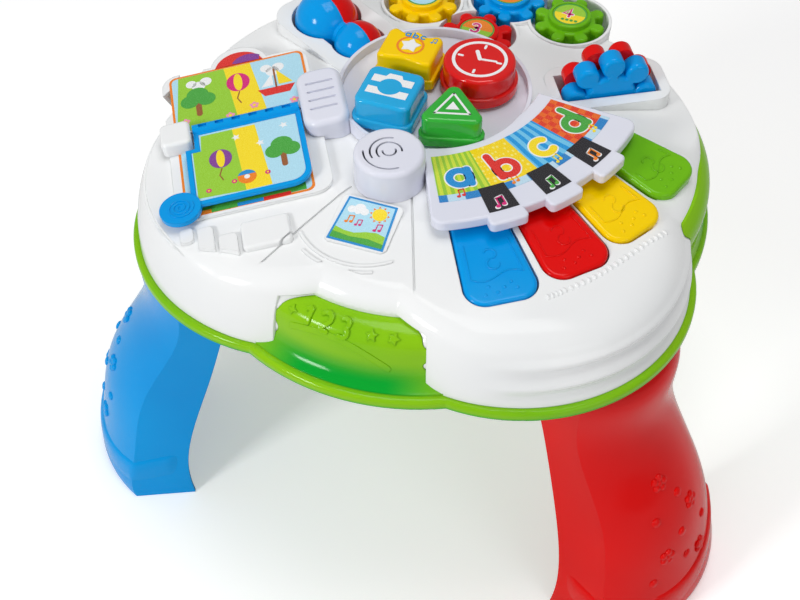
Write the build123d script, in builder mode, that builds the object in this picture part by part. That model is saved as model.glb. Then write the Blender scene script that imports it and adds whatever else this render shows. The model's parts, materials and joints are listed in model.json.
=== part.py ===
from build123d import *
from math import atan2, cos, degrees, hypot, radians, sin
import os

# Baby activity table: a three legged play table with keys, buttons, gears, rollers and a book.
# Lengths are millimetres. The floor is z = 0 and the front of the table faces -Y. Every plan
# position below is measured from the table's own upright axis, which stands at (0, axis_y).

os.makedirs("parts", exist_ok=True)

# Overall heights and reaches
rim_height = 272.0
rim_thickness = 10.0
deck_height = rim_height + 72.0
deck_flat_radius = 95.0
deck_slope = 0.138
lobe_offset = 99.0
lobe_radius = 141.0
front_panel_reach = 208.0
side_panel_reach = 226.0
panel_radius = 177.0
foot_reach = 304.0
shell_wall = 3.0
rim_inset = 6.0
running_clearance = 0.05
free_gap = 0.4
seat_gap = 0.2

# The rear foot and the front rim are equally far from the origin
axis_y = (front_panel_reach - foot_reach) / 2
lobe_angles = {"front_left": 210.0, "front_right": 330.0, "rear": 90.0}
panel_angles = {"front": 270.0, "right": 30.0, "left": 150.0}

# White top shell
lobe_wall_radius = lobe_radius - rim_inset
front_white_reach = 168.0
side_white_reach = 213.0
front_skirt_height = 47.0
side_skirt_height = 50.0
fold_depth = 3.0
tray_rim_height = deck_height - 2.0
tray_corner = 16.0
seam_width = 1.4
seam_depth = 1.6
seams = [((-38, -74), (-58, -118)), ((-58, -118), (-86, -184)), ((5, -60), (48, -174))]
relief_lift = -0.6
relief_round = 2.5
relief_depth = 14.0
relief_blocks = [(-88, -60, 121, 158), (-91, -69, 161, 175), (-85, -57, 178, 190), (-69, -54, 193, 203)]
ledge_x, ledge_y = -18.0, -90.0
ledges = [(54.0, 222.0, 86.0), (60.0, 238.0, 54.0)]
ledge_width, ledge_rise = 2.4, 0.9
boss_radius = 4.5
boss_height = 24.0

# Green base shell
base_wall = 4.0
rim_band = 19.0
rim_round = 3.5
skirt_wall = 3.0
front_skirt = [(front_white_reach, front_skirt_height), (190, 27), (192, 12), (202, 2)]
side_skirt = [(side_white_reach, side_skirt_height), (221, 27), (219, 12), (222, 2)]
skirt_half_angle = 56.0

# Legs: height, back edge, outer reach, extra half width
leg_half_width = 67.0
leg_wall = 3.2
leg_top_height = rim_height - rim_thickness
leg_crown = 30.0
leg_levels = [
    (0.0, 219.0, foot_reach - 2.0, 9.0),
    (14.0, 221.0, foot_reach, 8.0),
    (48.0, 220.0, foot_reach - 6.0, 4.0),
    (92.0, 208.0, foot_reach - 15.0, -3.0),
    (152.0, 187.0, foot_reach - 43.0, -10.0),
    (212.0, 170.0, foot_reach - 64.0, -10.0),
    (leg_top_height, 156.0, foot_reach - 78.0, -7.0),
]
leg_plate = 4.0
spigot_radius = 9.0
spigot_height = 12.0
spigot_reach = 188.0
leg_screw_side = 42.0
leg_angles = {"front_left": 205.0, "front_right": 335.0, "rear": 90.0}
leg_names = {"front_left": "front_left_leg", "front_right": "front_right_leg", "rear": "rear_leg"}

# Console with its round tray and curved letter panel
tray_x, tray_y = -12.0, 42.0
tray_radius = 77.0
tray_wall = 3.0
tray_rim = deck_height + 12.0
tray_floor = deck_height + 4.0
panel_x, panel_y = -42.0, 71.0
letter_inner, letter_outer = 110.0, 192.0
letter_start, letter_end = -66.0, -5.0
letter_top = deck_height + 14.0
letter_thickness = 8.0
letter_support = 156.0
letter_corner = 9.0
print_inner, print_outer = 122.0, 171.0
print_start, print_pitch, print_count = -63.5, 14.1, 4
print_thickness = 0.4
bump_angles = (-49.4, -35.3, -21.2)
bump_reach = 9.0
bump_half_angle = 4.4

# Speaker drum
drum_x, drum_y = -14.0, -56.0
drum_radius = 27.0
drum_top = deck_height + 28.0
drum_wall = 2.5
sound_slot_width = 1.4
sound_slots = [(5.0, 200.0, 200.0), (9.5, 20.0, 220.0), (14.5, 100.0, 130.0), (19.5, 200.0, 110.0)]
speaker_radius = 19.0
speaker_depth = 9.0
speaker_flange = 24.0

# Front label on a raised pad
label_x, label_y = -15.5, -107.5
label_top_width, label_foot_width, label_length = 39.0, 45.0, 42.0
label_pad_edge = 1.5
label_pad_lift = 1.0

# Book table, measured across the lobe and outwards along it
book_reach = 145.0
book_height = deck_height - 5.0
book_start, book_end = 83.0, 204.0
book_near, book_far = -48.0, 122.0
book_depth = 42.0
book_corner = 14.0
ear_place, ear_radius = (116.0, 139.0), 24.0
hinge_side = 43.0
page_start, page_end = 97.0, 190.0
page_depth = 84.0
page_thickness = 3.0
page_corner = 16.0
spine_radius = 5.0
spine_lift = 5.6
spine_slots = 6
pin_radius = 1.5
tab_place, tab_radius = (-40.0, 199.0), 16.0
block_start, block_end = 184.0, 208.0
block_near, block_far = 26.0, 52.0
block_height = 12.0
arm_start, arm_end = 60.0, 96.0
arm_near, arm_far = 10.0, 76.0
arm_height = 14.0

# Piano keys, fanned about a point behind the console
fan_x, fan_y = -60.0, 100.0
key_angles = {"blue": -55.4, "red": -42.4, "yellow": -30.0, "green": -17.2}
key_outers = {"blue": 290.0, "red": 284.0, "yellow": 277.0, "green": 269.0}
key_spread = 11.3
key_inner = 198.0
key_top_inner = deck_height + 1.5
key_slope = 0.125
key_thickness = 14.0
key_wall = 2.5
key_gap = 1.2
key_corner = 15.0
key_pin_radius = 1.5
key_pin_reach = 203.0
key_pin_drop = 8.0
key_pin_bite = 0.8
key_hinge_cut = 60.0
key_travel = 3.0
key_well_depth = 26.0
plunger_reach = 240.0
plunger_radius = 3.0
plunger_depth = 18.0
contact_length, contact_width, contact_thickness = 30.0, 16.0, 1.6

# Buttons
buttons = {"star": (-39.0, 62.0), "clock": (18.0, 63.0), "camera": (-37.0, 8.0), "play": (16.0, 2.0)}
stem_radius = 5.0
button_travel = 3.0
button_top = deck_height + 32.0
button_base = tray_floor + button_travel + 0.6
button_wall = 2.2
clock_radius = 31.0
square_side = 50.0
triangle_radius = 28.0
stem_bottom = deck_height - 10.6
collar_radius = 6.0
collar_height = 2.4
lamp_radius = 2.5
lamp_offset = 14.0
pad_radius = 7.0

# Gears
gear_tip = 31.0
tooth_radius = 5.6
tooth_count = 8
gear_root = 22.0
gear_bottom, gear_top = deck_height - 22.0, deck_height - 7.0
hub_top = deck_height - 2.0
hub_radius = 18.0
shaft_radius = 3.0
collar_of_shaft = 6.0
bowl_gap = 2.2
bowl_floor = deck_height - 28.0
bowl_rim = deck_height - 8.0
bowl_wall = 2.6
gears = {"yellow": (-67.0, 171.0), "blue": (3.0, 198.0), "red": (-8.0, 141.0), "green": (60.0, 187.0)}
blue_phase = 8.0
gear_label_radius = 15.0
label_recess = 0.8

# Rollers
roller_height = deck_height - 6.0
cut_size = 200.0
flower_x, flower_y = 112.0, 109.0
flower_angle = -60.0
flower_tip = 38.0
petal_radius = 9.5
petal_count = 8
flower_half = 14.0
barrel_x, barrel_y = -133.0, 114.0
barrel_angle = -30.0
big_ball, small_ball = 27.0, 20.5
ball_spacing = 43.0
barrel_neck = 26.0
axle_radius = 2.5
axle_seat = 3.0
pit_gap = 2.5

# Power, board and fixings
bay_x, bay_y = 0.0, 20.0
bay_length, bay_width, bay_depth = 60.0, 48.0, 20.0
cell_radius, cell_length, cell_count, cell_pitch = 7.1, 50.0, 3, 15.2
contact_plate = 0.6
door_margin = 8.0
door_screw_side = 4.0
door_thickness = 2.4
board_height, board_thickness, board_side = deck_height - 22.0, 1.6, 92.0
board_x, board_y = -10.0, 35.0
board_post = 40.0
screw_radius = 1.5
screw_head_radius = 3.2
screw_head_height = 2.4
screw_turn = 55.0
screw_wall_gap = 7.5
switch_x, switch_y = 56.0, 20.0
switch_length, switch_width, switch_travel = 9.0, 5.0, 5.0
switch_plate = 1.6


def spot(angle, reach, side=0.0):
    """Plan point out from the table's axis, and sideways from that direction."""
    aim = radians(angle)
    return (reach * cos(aim) - side * sin(aim), reach * sin(aim) + side * cos(aim))


def flat(x, y, height, angle=0.0):
    """Level plane at a plan point, with its x at an angle."""
    out = Vector(cos(radians(angle)), sin(radians(angle)), 0)
    return Plane((x, axis_y + y, height), x_dir=out, z_dir=(0, 0, 1))


def level(height):
    """Level plane with its origin on the table's axis."""
    return flat(0, 0, height)


def upright(x, y, angle=0.0):
    """Upright plane through a plan point, with x outwards at an angle and y up."""
    out = Vector(cos(radians(angle)), sin(radians(angle)), 0)
    return Plane((x, axis_y + y, 0), x_dir=out, z_dir=(out.Y, -out.X, 0))


def deck_at(radius):
    """Height of the sloping deck at a radius from the table's axis."""
    return deck_height - deck_slope * max(0.0, radius - deck_flat_radius)


def save(piece, label):
    """Labels a finished piece and writes its file."""
    piece.label = label
    export_step(piece, f"parts/{label}.step")


def disc(x, y, radius, low, high):
    """Round slab at a plan point."""
    with BuildPart() as slab:
        with BuildSketch(flat(x, y, low)):
            Circle(radius)
        extrude(amount=high - low)
    return slab.part


def dome(lift=0.0):
    """Everything below the deck, which is flat in the middle and slopes down outwards."""
    far = 400.0
    with BuildPart() as solid:
        with BuildSketch(upright(0, 0)):
            with BuildLine():
                Polyline(
                    (0, -1),
                    (0, deck_height + lift),
                    (deck_flat_radius, deck_height + lift),
                    (far, deck_at(far) + lift),
                    (far, -1),
                    close=True,
                )
            make_face()
        revolve(axis=Axis((0, axis_y, 0), (0, 0, 1)))
    return solid.part


def lobe(name, grow=0.0):
    """One lobe of the white shell, with soft folds round its wall, grown by a gap."""
    angle = lobe_angles[name]
    wall = lobe_wall_radius + grow
    low, high = rim_height - max(0.0, -grow), deck_height + 12
    fold = fold_depth if name == "front_right" else fold_depth / 3
    place = upright(*spot(angle, lobe_offset))
    with BuildPart() as solid:
        with BuildSketch(place):
            with BuildLine():
                wavy = Spline(
                    (wall, low),
                    (wall - 1.0 - fold, rim_height + 13),
                    (wall - 1.5, rim_height + 21),
                    (wall - 3.5 - fold, rim_height + 30),
                    (wall - 4.5, rim_height + 38),
                    (wall - 8.0 - fold, rim_height + 47),
                    (wall - 11.0, rim_height + 56),
                )
                Polyline(wavy @ 1, (wall - 11.0, high), (0, high), (0, low), (wall, low))
            make_face()
        revolve(axis=Axis(place.origin, (0, 0, 1)))
    return solid.part


def panel_disc(name, reach):
    """Centre offset and radius of the round outline of a panel with a given reach."""
    rim_reach = front_panel_reach if name == "front" else side_panel_reach
    offset = rim_reach - panel_radius
    return offset, reach - offset


def sloped(angle, reach, height):
    """Plane with the deck's slope, given its height at a reach: x across, y outwards."""
    along = radians(angle)
    tilt = atan2(deck_slope, 1.0)
    up = Vector(cos(along) * sin(tilt), sin(along) * sin(tilt), cos(tilt))
    start = Vector(0, axis_y, height + deck_slope * reach)
    return Plane(start, x_dir=(sin(along), -cos(along), 0), z_dir=up)


def book_plane(lift=0.0):
    """Tilted plane of the book: x across to its far side, y outwards along the lobe."""
    return sloped(lobe_angles["front_left"], book_reach, book_height).offset(lift)


def label_plane(lift=0.0):
    """Tilted plane of the front label's pad."""
    return sloped(panel_angles["front"], -label_y, deck_at(-label_y) + label_pad_lift).offset(lift)


def book_block(grow=0.0, lift=0.0, depth=book_depth):
    """Raised table under the book, with an ear for the index tab."""
    with BuildPart() as block:
        with BuildSketch(book_plane(lift)):
            middle = ((book_near + book_far) / 2, (book_start + book_end) / 2)
            size = (book_far - book_near + 2 * grow, book_end - book_start + 2 * grow)
            with Locations(middle):
                RectangleRounded(*size, book_corner + grow)
            with Locations(ear_place):
                Circle(ear_radius + grow)
        extrude(amount=-depth, taper=12)
    return block.part


def key_plane(angle, lift=0.0):
    """Sloping plane of one key's top, with x outwards along the key."""
    along = radians(angle)
    tilt = atan2(key_slope, 1.0)
    out = Vector(cos(along) * cos(tilt), sin(along) * cos(tilt), -sin(tilt))
    up = Vector(cos(along) * sin(tilt), sin(along) * sin(tilt), cos(tilt))
    start = Vector(fan_x, fan_y + axis_y, key_top_inner + key_slope * key_inner)
    return Plane(start + up * lift, x_dir=out, z_dir=up)


def key_face(name, grow=0.0):
    """Face of a key that widens outwards, with rounded outer corners."""
    half = sin(radians(key_spread / 2))
    inner, outer = key_inner - grow, key_outers[name] + grow
    with BuildSketch() as face:
        with BuildLine():
            Polyline(
                (inner, -inner * half - grow),
                (outer, -outer * half - grow),
                (outer, outer * half + grow),
                (inner, inner * half + grow),
                close=True,
            )
        make_face()
        fillet(face.vertices().sort_by(Axis.X)[-2:], key_corner + grow)
    return face.sketch


def key_well(grow):
    """Fan shaped wells that the four keys sit in."""
    above = 20.0
    with BuildPart() as well:
        for name, angle in key_angles.items():
            with BuildSketch(key_plane(angle, above)):
                add(key_face(name, grow))
            extrude(amount=-(above + key_well_depth + grow))
    return well.part


def gear_bowls(grow, floor):
    """Round hollows that the gears turn in."""
    with BuildPart() as bowls:
        with BuildSketch(level(floor)):
            with Locations(*gears.values()):
                Circle(gear_tip + bowl_gap + grow)
        extrude(amount=bowl_rim + 20 - floor)
    return bowls.part


def bowl_towers(grow, low, high):
    """Round towers under the gears, narrowing downwards."""
    with BuildPart() as towers:
        for x, y in gears.values():
            with BuildSketch(flat(x, y, high)):
                Circle(gear_tip + bowl_gap + bowl_wall + grow)
            extrude(amount=low - high, taper=3)
    return towers.part


def flower_pit(grow):
    """Slot that the flower roller dips into."""
    radius = flower_tip + pit_gap + grow
    above = 40.0
    with BuildPart() as pit:
        with BuildSketch(upright(flower_x, flower_y, flower_angle + 90)):
            with Locations((0, roller_height)):
                Circle(radius)
            with Locations((0, roller_height + above)):
                Rectangle(2 * radius, 2 * above)
        extrude(amount=flower_half + pit_gap + grow, both=True)
    return pit.part


def barrel_pit(grow):
    """Hollow that the barrel roller lies in, wide for the big ball and narrow for the small."""
    floor = roller_height - big_ball - pit_gap - grow
    with BuildPart() as pit:
        with BuildSketch(flat(barrel_x, barrel_y, floor, barrel_angle)):
            Circle(big_ball + pit_gap + grow)
            with Locations((ball_spacing, 0)):
                Circle(small_ball + pit_gap + grow)
            with Locations((ball_spacing / 2, 0)):
                Rectangle(ball_spacing, 2 * (small_ball + grow))
        extrude(amount=90)
    return pit.part


def roller_trays(grow=0.0, lift=0.0):
    """Rims that stand proud of the deck round the two rollers."""
    low = rim_height + side_skirt_height
    with BuildPart() as trays:
        with BuildSketch(flat(flower_x, flower_y, low, flower_angle + 90)):
            RectangleRounded(2 * flower_tip + 22 + 2 * grow, 2 * flower_half + 26 + 2 * grow, tray_corner)
        extrude(amount=tray_rim_height + lift - low)
        with BuildSketch(flat(barrel_x, barrel_y, low, barrel_angle)):
            with Locations((ball_spacing / 2, 0)):
                length = ball_spacing + 2 * big_ball + 20 + 2 * grow
                RectangleRounded(length, 2 * big_ball + 18 + 2 * grow, tray_corner + 6)
        extrude(amount=tray_rim_height + lift - low)
    return trays.part


def white_core(low_extra=0.0, inset=0.0):
    """Middle of the white shell between the lobes, one round slab for each panel."""
    with BuildPart() as core:
        for name, angle in panel_angles.items():
            reach = front_white_reach if name == "front" else side_white_reach
            skirt = front_skirt_height if name == "front" else side_skirt_height
            offset, radius = panel_disc(name, reach - inset)
            low = rim_height + skirt - low_extra
            with BuildSketch(flat(*spot(angle, offset), low)):
                Circle(radius)
            extrude(amount=deck_height + 12 - low)
    return core.part


def screw_spots():
    """Plan points of the screws that hold the two shells together."""
    spots = []
    for angle in lobe_angles.values():
        for turn in (-screw_turn, screw_turn):
            x, y = spot(angle, lobe_offset)
            aim = radians(angle + turn)
            reach = lobe_wall_radius - screw_wall_gap
            spots.append((x + reach * cos(aim), y + reach * sin(aim)))
    return spots


def screws(spots, head_low, length):
    """Screws with flat round heads, pointing up."""
    with BuildPart() as group:
        with BuildSketch(level(head_low)):
            with Locations(*spots):
                Circle(screw_head_radius)
        extrude(amount=screw_head_height)
        with BuildSketch(level(head_low + screw_head_height)):
            with Locations(*spots):
                Circle(screw_radius)
        extrude(amount=length)
    return group.part


def lip_face(grow=0.0):
    """Plan outline of the rim: three round lobes and three flatter panels."""
    with BuildSketch() as face:
        for angle in lobe_angles.values():
            with Locations(spot(angle, lobe_offset)):
                Circle(lobe_radius + grow)
        for name, angle in panel_angles.items():
            rim_reach = front_panel_reach if name == "front" else side_panel_reach
            offset, radius = panel_disc(name, rim_reach)
            with Locations(spot(angle, offset)):
                Circle(radius + grow)
    return face.sketch


def board_posts():
    """Plan points of the four corners where the board is fastened."""
    signs = [(-1, -1), (1, -1), (1, 1), (-1, 1)]
    return [(board_x + board_post * a, board_y + board_post * b) for a, b in signs]


# Solids that several pieces share
under_deck = dome()
deck_liner = dome(-shell_wall)

# Walls round every well, cut off at the deck
with BuildPart() as well_walls:
    add(key_well(key_gap + shell_wall))
    add(flower_pit(shell_wall))
    add(barrel_pit(shell_wall))
    add(under_deck, mode=Mode.INTERSECT)

# Hollow inside the top shell
with BuildPart() as cavity:
    for name in lobe_angles:
        add(lobe(name, -shell_wall))
    add(white_core(1, shell_wall))
    add(deck_liner, mode=Mode.INTERSECT)
    add(bowl_towers(-shell_wall, rim_height - 1, bowl_floor - shell_wall))
    add(book_block(-shell_wall, -shell_wall, book_depth - 2 * shell_wall))
    add(gear_bowls(shell_wall, bowl_floor - shell_wall), mode=Mode.SUBTRACT)
    add(well_walls.part, mode=Mode.SUBTRACT)

# Seams beside the front segment, as deep as the deck's slope allows
with BuildPart() as seam_cut:
    for start, end in seams:
        run = Vector(*end) - Vector(*start)
        middle = (Vector(*end) + Vector(*start)) * 0.5
        heading = degrees(atan2(run.Y, run.X))
        with BuildSketch(flat(middle.X, middle.Y, deck_height - side_skirt_height / 2, heading)):
            SlotOverall(run.length + seam_width, seam_width)
        extrude(amount=side_skirt_height)
    add(dome(-seam_depth), mode=Mode.SUBTRACT)

# Raised play blocks beside the book and two low ledges under the label
with BuildPart() as deck_relief:
    with BuildSketch(book_plane(relief_lift)):
        for near, far, start, end in relief_blocks:
            with Locations(((near + far) / 2, (start + end) / 2)):
                RectangleRounded(far - near, end - start, relief_round + 1)
    extrude(amount=-relief_depth)
    fillet(deck_relief.faces().group_by(Axis.Z)[-1].edges(), relief_round)
with BuildPart() as label_ledges:
    with BuildSketch(flat(ledge_x, ledge_y, deck_height - relief_depth)):
        for radius, start, size in ledges:
            with BuildLine(mode=Mode.PRIVATE) as run:
                CenterArc((0, 0), radius, start, size)
            SlotArc(run.edges()[0], ledge_width)
    extrude(amount=2 * relief_depth)
    add(dome(ledge_rise), mode=Mode.INTERSECT)

# Top shell
board_top = board_height + board_thickness
with BuildPart() as top_shell:
    for name in lobe_angles:
        add(lobe(name))
    add(white_core())
    add(under_deck, mode=Mode.INTERSECT)
    add(deck_relief.part)
    add(label_ledges.part)
    add(roller_trays())
    add(bowl_towers(0, rim_height, bowl_rim))
    add(book_block())
    # Raised pad for the front label
    with BuildSketch(label_plane()):
        with Locations((-label_x, -label_y)):
            RectangleRounded(label_foot_width + 2 * label_pad_edge, label_length + 2 * label_pad_edge, 5)
    extrude(amount=-4)
    add(cavity.part, mode=Mode.SUBTRACT)
    add(well_walls.part)
    # Screw bosses along the lobe walls
    with BuildSketch(level(rim_height)):
        with Locations(*screw_spots()):
            Circle(boss_radius)
    extrude(amount=boss_height)
    with BuildSketch(level(rim_height)):
        with Locations(*screw_spots()):
            Circle(screw_radius + running_clearance)
    extrude(amount=boss_height - 2, mode=Mode.SUBTRACT)
    # Posts that the circuit board hangs from
    with BuildSketch(level(board_top)):
        with Locations(*board_posts()):
            Circle(boss_radius)
    extrude(amount=deck_height - shell_wall - board_top)
    with BuildSketch(level(board_top)):
        with Locations(*board_posts()):
            Circle(screw_radius + running_clearance)
    extrude(amount=10, mode=Mode.SUBTRACT)
    # Wells and bowls
    add(key_well(key_gap), mode=Mode.SUBTRACT)
    add(gear_bowls(0, bowl_floor), mode=Mode.SUBTRACT)
    add(flower_pit(0), mode=Mode.SUBTRACT)
    add(barrel_pit(0), mode=Mode.SUBTRACT)
    # Seats of the roller axles
    with BuildSketch(upright(flower_x, flower_y, flower_angle + 90)):
        with Locations((0, roller_height)):
            Circle(axle_radius + running_clearance)
    extrude(amount=flower_half + pit_gap + axle_seat, both=True, mode=Mode.SUBTRACT)
    with BuildSketch(upright(barrel_x, barrel_y, barrel_angle + 90)):
        with Locations((0, roller_height)):
            Circle(axle_radius + running_clearance)
    extrude(amount=-(big_ball + pit_gap + axle_seat), mode=Mode.SUBTRACT)
    with BuildSketch(upright(barrel_x, barrel_y, barrel_angle + 90)):
        with Locations((0, roller_height)):
            Circle(axle_radius + running_clearance)
    extrude(amount=ball_spacing + small_ball + pit_gap + axle_seat, mode=Mode.SUBTRACT)
    # Seats of the gear shafts, button stems, lamps and loudspeaker
    with BuildSketch(level(bowl_floor)):
        with Locations(*gears.values()):
            Circle(shaft_radius + running_clearance)
    extrude(amount=-shell_wall, mode=Mode.SUBTRACT)
    with BuildSketch(level(deck_height)):
        with Locations(*buttons.values()):
            Circle(collar_radius + 1)
            with Locations((lamp_offset, 0)):
                Circle(lamp_radius + seat_gap)
        with Locations((drum_x, drum_y)):
            Circle(speaker_radius + seat_gap)
    extrude(amount=-2 * shell_wall, mode=Mode.SUBTRACT)
    # Seats of the key pins in the walls between the wells
    for angle in key_angles.values():
        pin_plane = key_plane(angle, -key_pin_drop)
        half = key_pin_reach * sin(radians(key_spread / 2)) + key_gap + key_pin_bite
        with BuildSketch(Plane(pin_plane.from_local_coords((key_pin_reach, 0, 0)),
                               x_dir=pin_plane.x_dir, z_dir=pin_plane.y_dir)):
            Circle(key_pin_radius + running_clearance)
        extrude(amount=half, both=True, mode=Mode.SUBTRACT)
    add(seam_cut.part, mode=Mode.SUBTRACT)
save(Part(top_shell.part.solids().sort_by(SortBy.VOLUME)[-1].wrapped), "top_shell")

# Base shell: bottom plate, rim band, skirts between the lobes and battery bay
plate_top = leg_top_height + base_wall
door_boss_height = 8.0
leg_boss_height = 8.0


def skirt(name):
    """Curved skirt that rises from the rim between two lobes."""
    outline = front_skirt if name == "front" else side_skirt
    angle = panel_angles[name]
    offset, _ = panel_disc(name, 0)
    points = [(reach - offset, rim_height + rise) for reach, rise in outline]
    inner = [(radius - skirt_wall, height) for radius, height in reversed(points)]
    with BuildPart() as ring:
        with BuildSketch(upright(*spot(angle, offset))):
            with BuildLine():
                outside = Spline(*points)
                inside = Spline(*inner)
                Line(outside @ 1, (points[-1][0], rim_height - 1))
                Line((points[-1][0], rim_height - 1), (inner[0][0], rim_height - 1))
                Line((inner[0][0], rim_height - 1), inside @ 0)
                Line(inside @ 1, outside @ 0)
            make_face()
        place = flat(*spot(angle, offset), 0)
        revolve(axis=Axis(place.origin, (0, 0, 1)))
        with BuildSketch(flat(0, 0, rim_height - 1, angle)):
            with BuildLine():
                far = 2 * side_panel_reach
                turn = radians(skirt_half_angle)
                Polyline(
                    (0, 0),
                    (far * cos(turn), -far * sin(turn)),
                    (far * cos(turn), far * sin(turn)),
                    close=True,
                )
            make_face()
        extrude(amount=side_skirt_height + 2, mode=Mode.INTERSECT)
    return ring.part


with BuildPart() as base_shell:
    with BuildSketch(level(leg_top_height)):
        add(lip_face())
    extrude(amount=rim_thickness)
    rim_edges = base_shell.edges().group_by(Axis.Z)
    fillet(rim_edges[0] + rim_edges[-1], rim_round)
    with BuildSketch(level(plate_top)):
        add(lip_face(-rim_band))
    extrude(amount=rim_thickness, mode=Mode.SUBTRACT)
    for name in panel_angles:
        add(skirt(name))
    for name in lobe_angles:
        add(lobe(name, free_gap), mode=Mode.SUBTRACT)
    add(book_block(free_gap, free_gap, book_depth + 2 * free_gap), mode=Mode.SUBTRACT)
    add(bowl_towers(free_gap, rim_height, bowl_rim), mode=Mode.SUBTRACT)
    add(key_well(key_gap + shell_wall + free_gap), mode=Mode.SUBTRACT)
    add(flower_pit(shell_wall + free_gap), mode=Mode.SUBTRACT)
    add(barrel_pit(shell_wall + free_gap), mode=Mode.SUBTRACT)
    # Battery bay with a rebate for its door
    with BuildSketch(flat(bay_x, bay_y, leg_top_height)):
        Rectangle(bay_length + 2 * shell_wall, bay_width + 2 * shell_wall)
    extrude(amount=bay_depth + base_wall)
    with BuildSketch(flat(bay_x, bay_y + bay_width / 2 + door_screw_side, plate_top)):
        Circle(boss_radius)
    extrude(amount=door_boss_height)
    with BuildSketch(flat(bay_x, bay_y, leg_top_height)):
        Rectangle(bay_length, bay_width)
    extrude(amount=bay_depth, mode=Mode.SUBTRACT)
    with BuildSketch(flat(bay_x, bay_y, leg_top_height)):
        Rectangle(bay_length + 2 * door_margin, bay_width + 2 * door_margin)
    extrude(amount=door_thickness + seat_gap, mode=Mode.SUBTRACT)
    with BuildSketch(flat(bay_x, bay_y + bay_width / 2 + door_screw_side, leg_top_height)):
        Circle(screw_radius + running_clearance)
    extrude(amount=base_wall + door_boss_height - 2, mode=Mode.SUBTRACT)
    # Sockets and screw bosses of the legs
    for angle in leg_angles.values():
        place = flat(0, 0, plate_top, angle)
        with BuildSketch(place):
            with Locations((spigot_reach, 0)):
                Circle(spigot_radius + shell_wall)
        extrude(amount=spigot_height - base_wall)
        with BuildSketch(place.offset(-base_wall)):
            with Locations((spigot_reach, 0)):
                Circle(spigot_radius + seat_gap)
        extrude(amount=spigot_height + 1, mode=Mode.SUBTRACT)
        with BuildSketch(place):
            with Locations((spigot_reach, leg_screw_side), (spigot_reach, -leg_screw_side)):
                Circle(boss_radius)
        extrude(amount=leg_boss_height)
        with BuildSketch(place.offset(-base_wall)):
            with Locations((spigot_reach, leg_screw_side), (spigot_reach, -leg_screw_side)):
                Circle(screw_radius + running_clearance)
        extrude(amount=base_wall + leg_boss_height, mode=Mode.SUBTRACT)
    # Screw holes through the rim and the slot of the power switch
    with BuildSketch(level(leg_top_height)):
        with Locations(*screw_spots()):
            Circle(screw_head_radius + seat_gap)
    extrude(amount=screw_head_height, mode=Mode.SUBTRACT)
    with BuildSketch(level(leg_top_height)):
        with Locations(*screw_spots()):
            Circle(screw_radius + running_clearance)
    extrude(amount=rim_thickness, mode=Mode.SUBTRACT)
    with BuildSketch(flat(switch_x, switch_y + switch_travel / 2, leg_top_height)):
        Rectangle(switch_width + 2 * free_gap, switch_length + switch_travel + 2 * free_gap)
    extrude(amount=base_wall, mode=Mode.SUBTRACT)
save(base_shell.part, "base_shell")

def leg_section(height, back, outer, extra, inset=0.0):
    """Level section of a leg: straight back and sides and a crowned outer face."""
    half = leg_half_width + extra - inset
    back = back - (1.0 if inset else 0.0)
    side = outer - leg_crown - inset * 0.5
    with BuildSketch(level(height)) as section:
        with BuildLine():
            Line((back, -half), (side, -half))
            ThreePointArc((side, -half), (outer - inset, 0), (side, half))
            Line((side, half), (back, half))
            Line((back, half), (back, -half))
        make_face()
    return section.sketch


# Green, red and yellow legs: crowned channels, open at the back and below
with BuildPart() as leg_core:
    for height, back, outer, extra in leg_levels:
        add(leg_section(height, back, outer, extra, leg_wall))
    loft()
    split(bisect_by=Plane.XY.offset(leg_top_height - leg_plate), keep=Keep.BOTTOM)

with BuildPart() as leg_form:
    for height, back, outer, extra in leg_levels:
        add(leg_section(height, back, outer, extra))
    loft()
    add(leg_core.part, mode=Mode.SUBTRACT)
    with BuildSketch(level(leg_top_height)):
        with Locations((spigot_reach, 0)):
            Circle(spigot_radius)
    extrude(amount=spigot_height)
    with BuildSketch(level(leg_top_height)):
        with Locations((spigot_reach, leg_screw_side), (spigot_reach, -leg_screw_side)):
            Circle(screw_radius + running_clearance)
    extrude(amount=-leg_plate, mode=Mode.SUBTRACT)
table_axis = Axis((0, axis_y, 0), (0, 0, 1))
for name, angle in leg_angles.items():
    save(leg_form.part.rotate(table_axis, angle), leg_names[name])


def ring_sector(inner, outer, start, end):
    """Flat face between two arcs about the letter panel's centre."""
    with BuildSketch() as face:
        with BuildLine():
            far = CenterArc((0, 0), outer, start, end - start)
            near = CenterArc((0, 0), inner, start, end - start)
            Line(near @ 0, far @ 0)
            Line(near @ 1, far @ 1)
        make_face()
    return face.sketch


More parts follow.
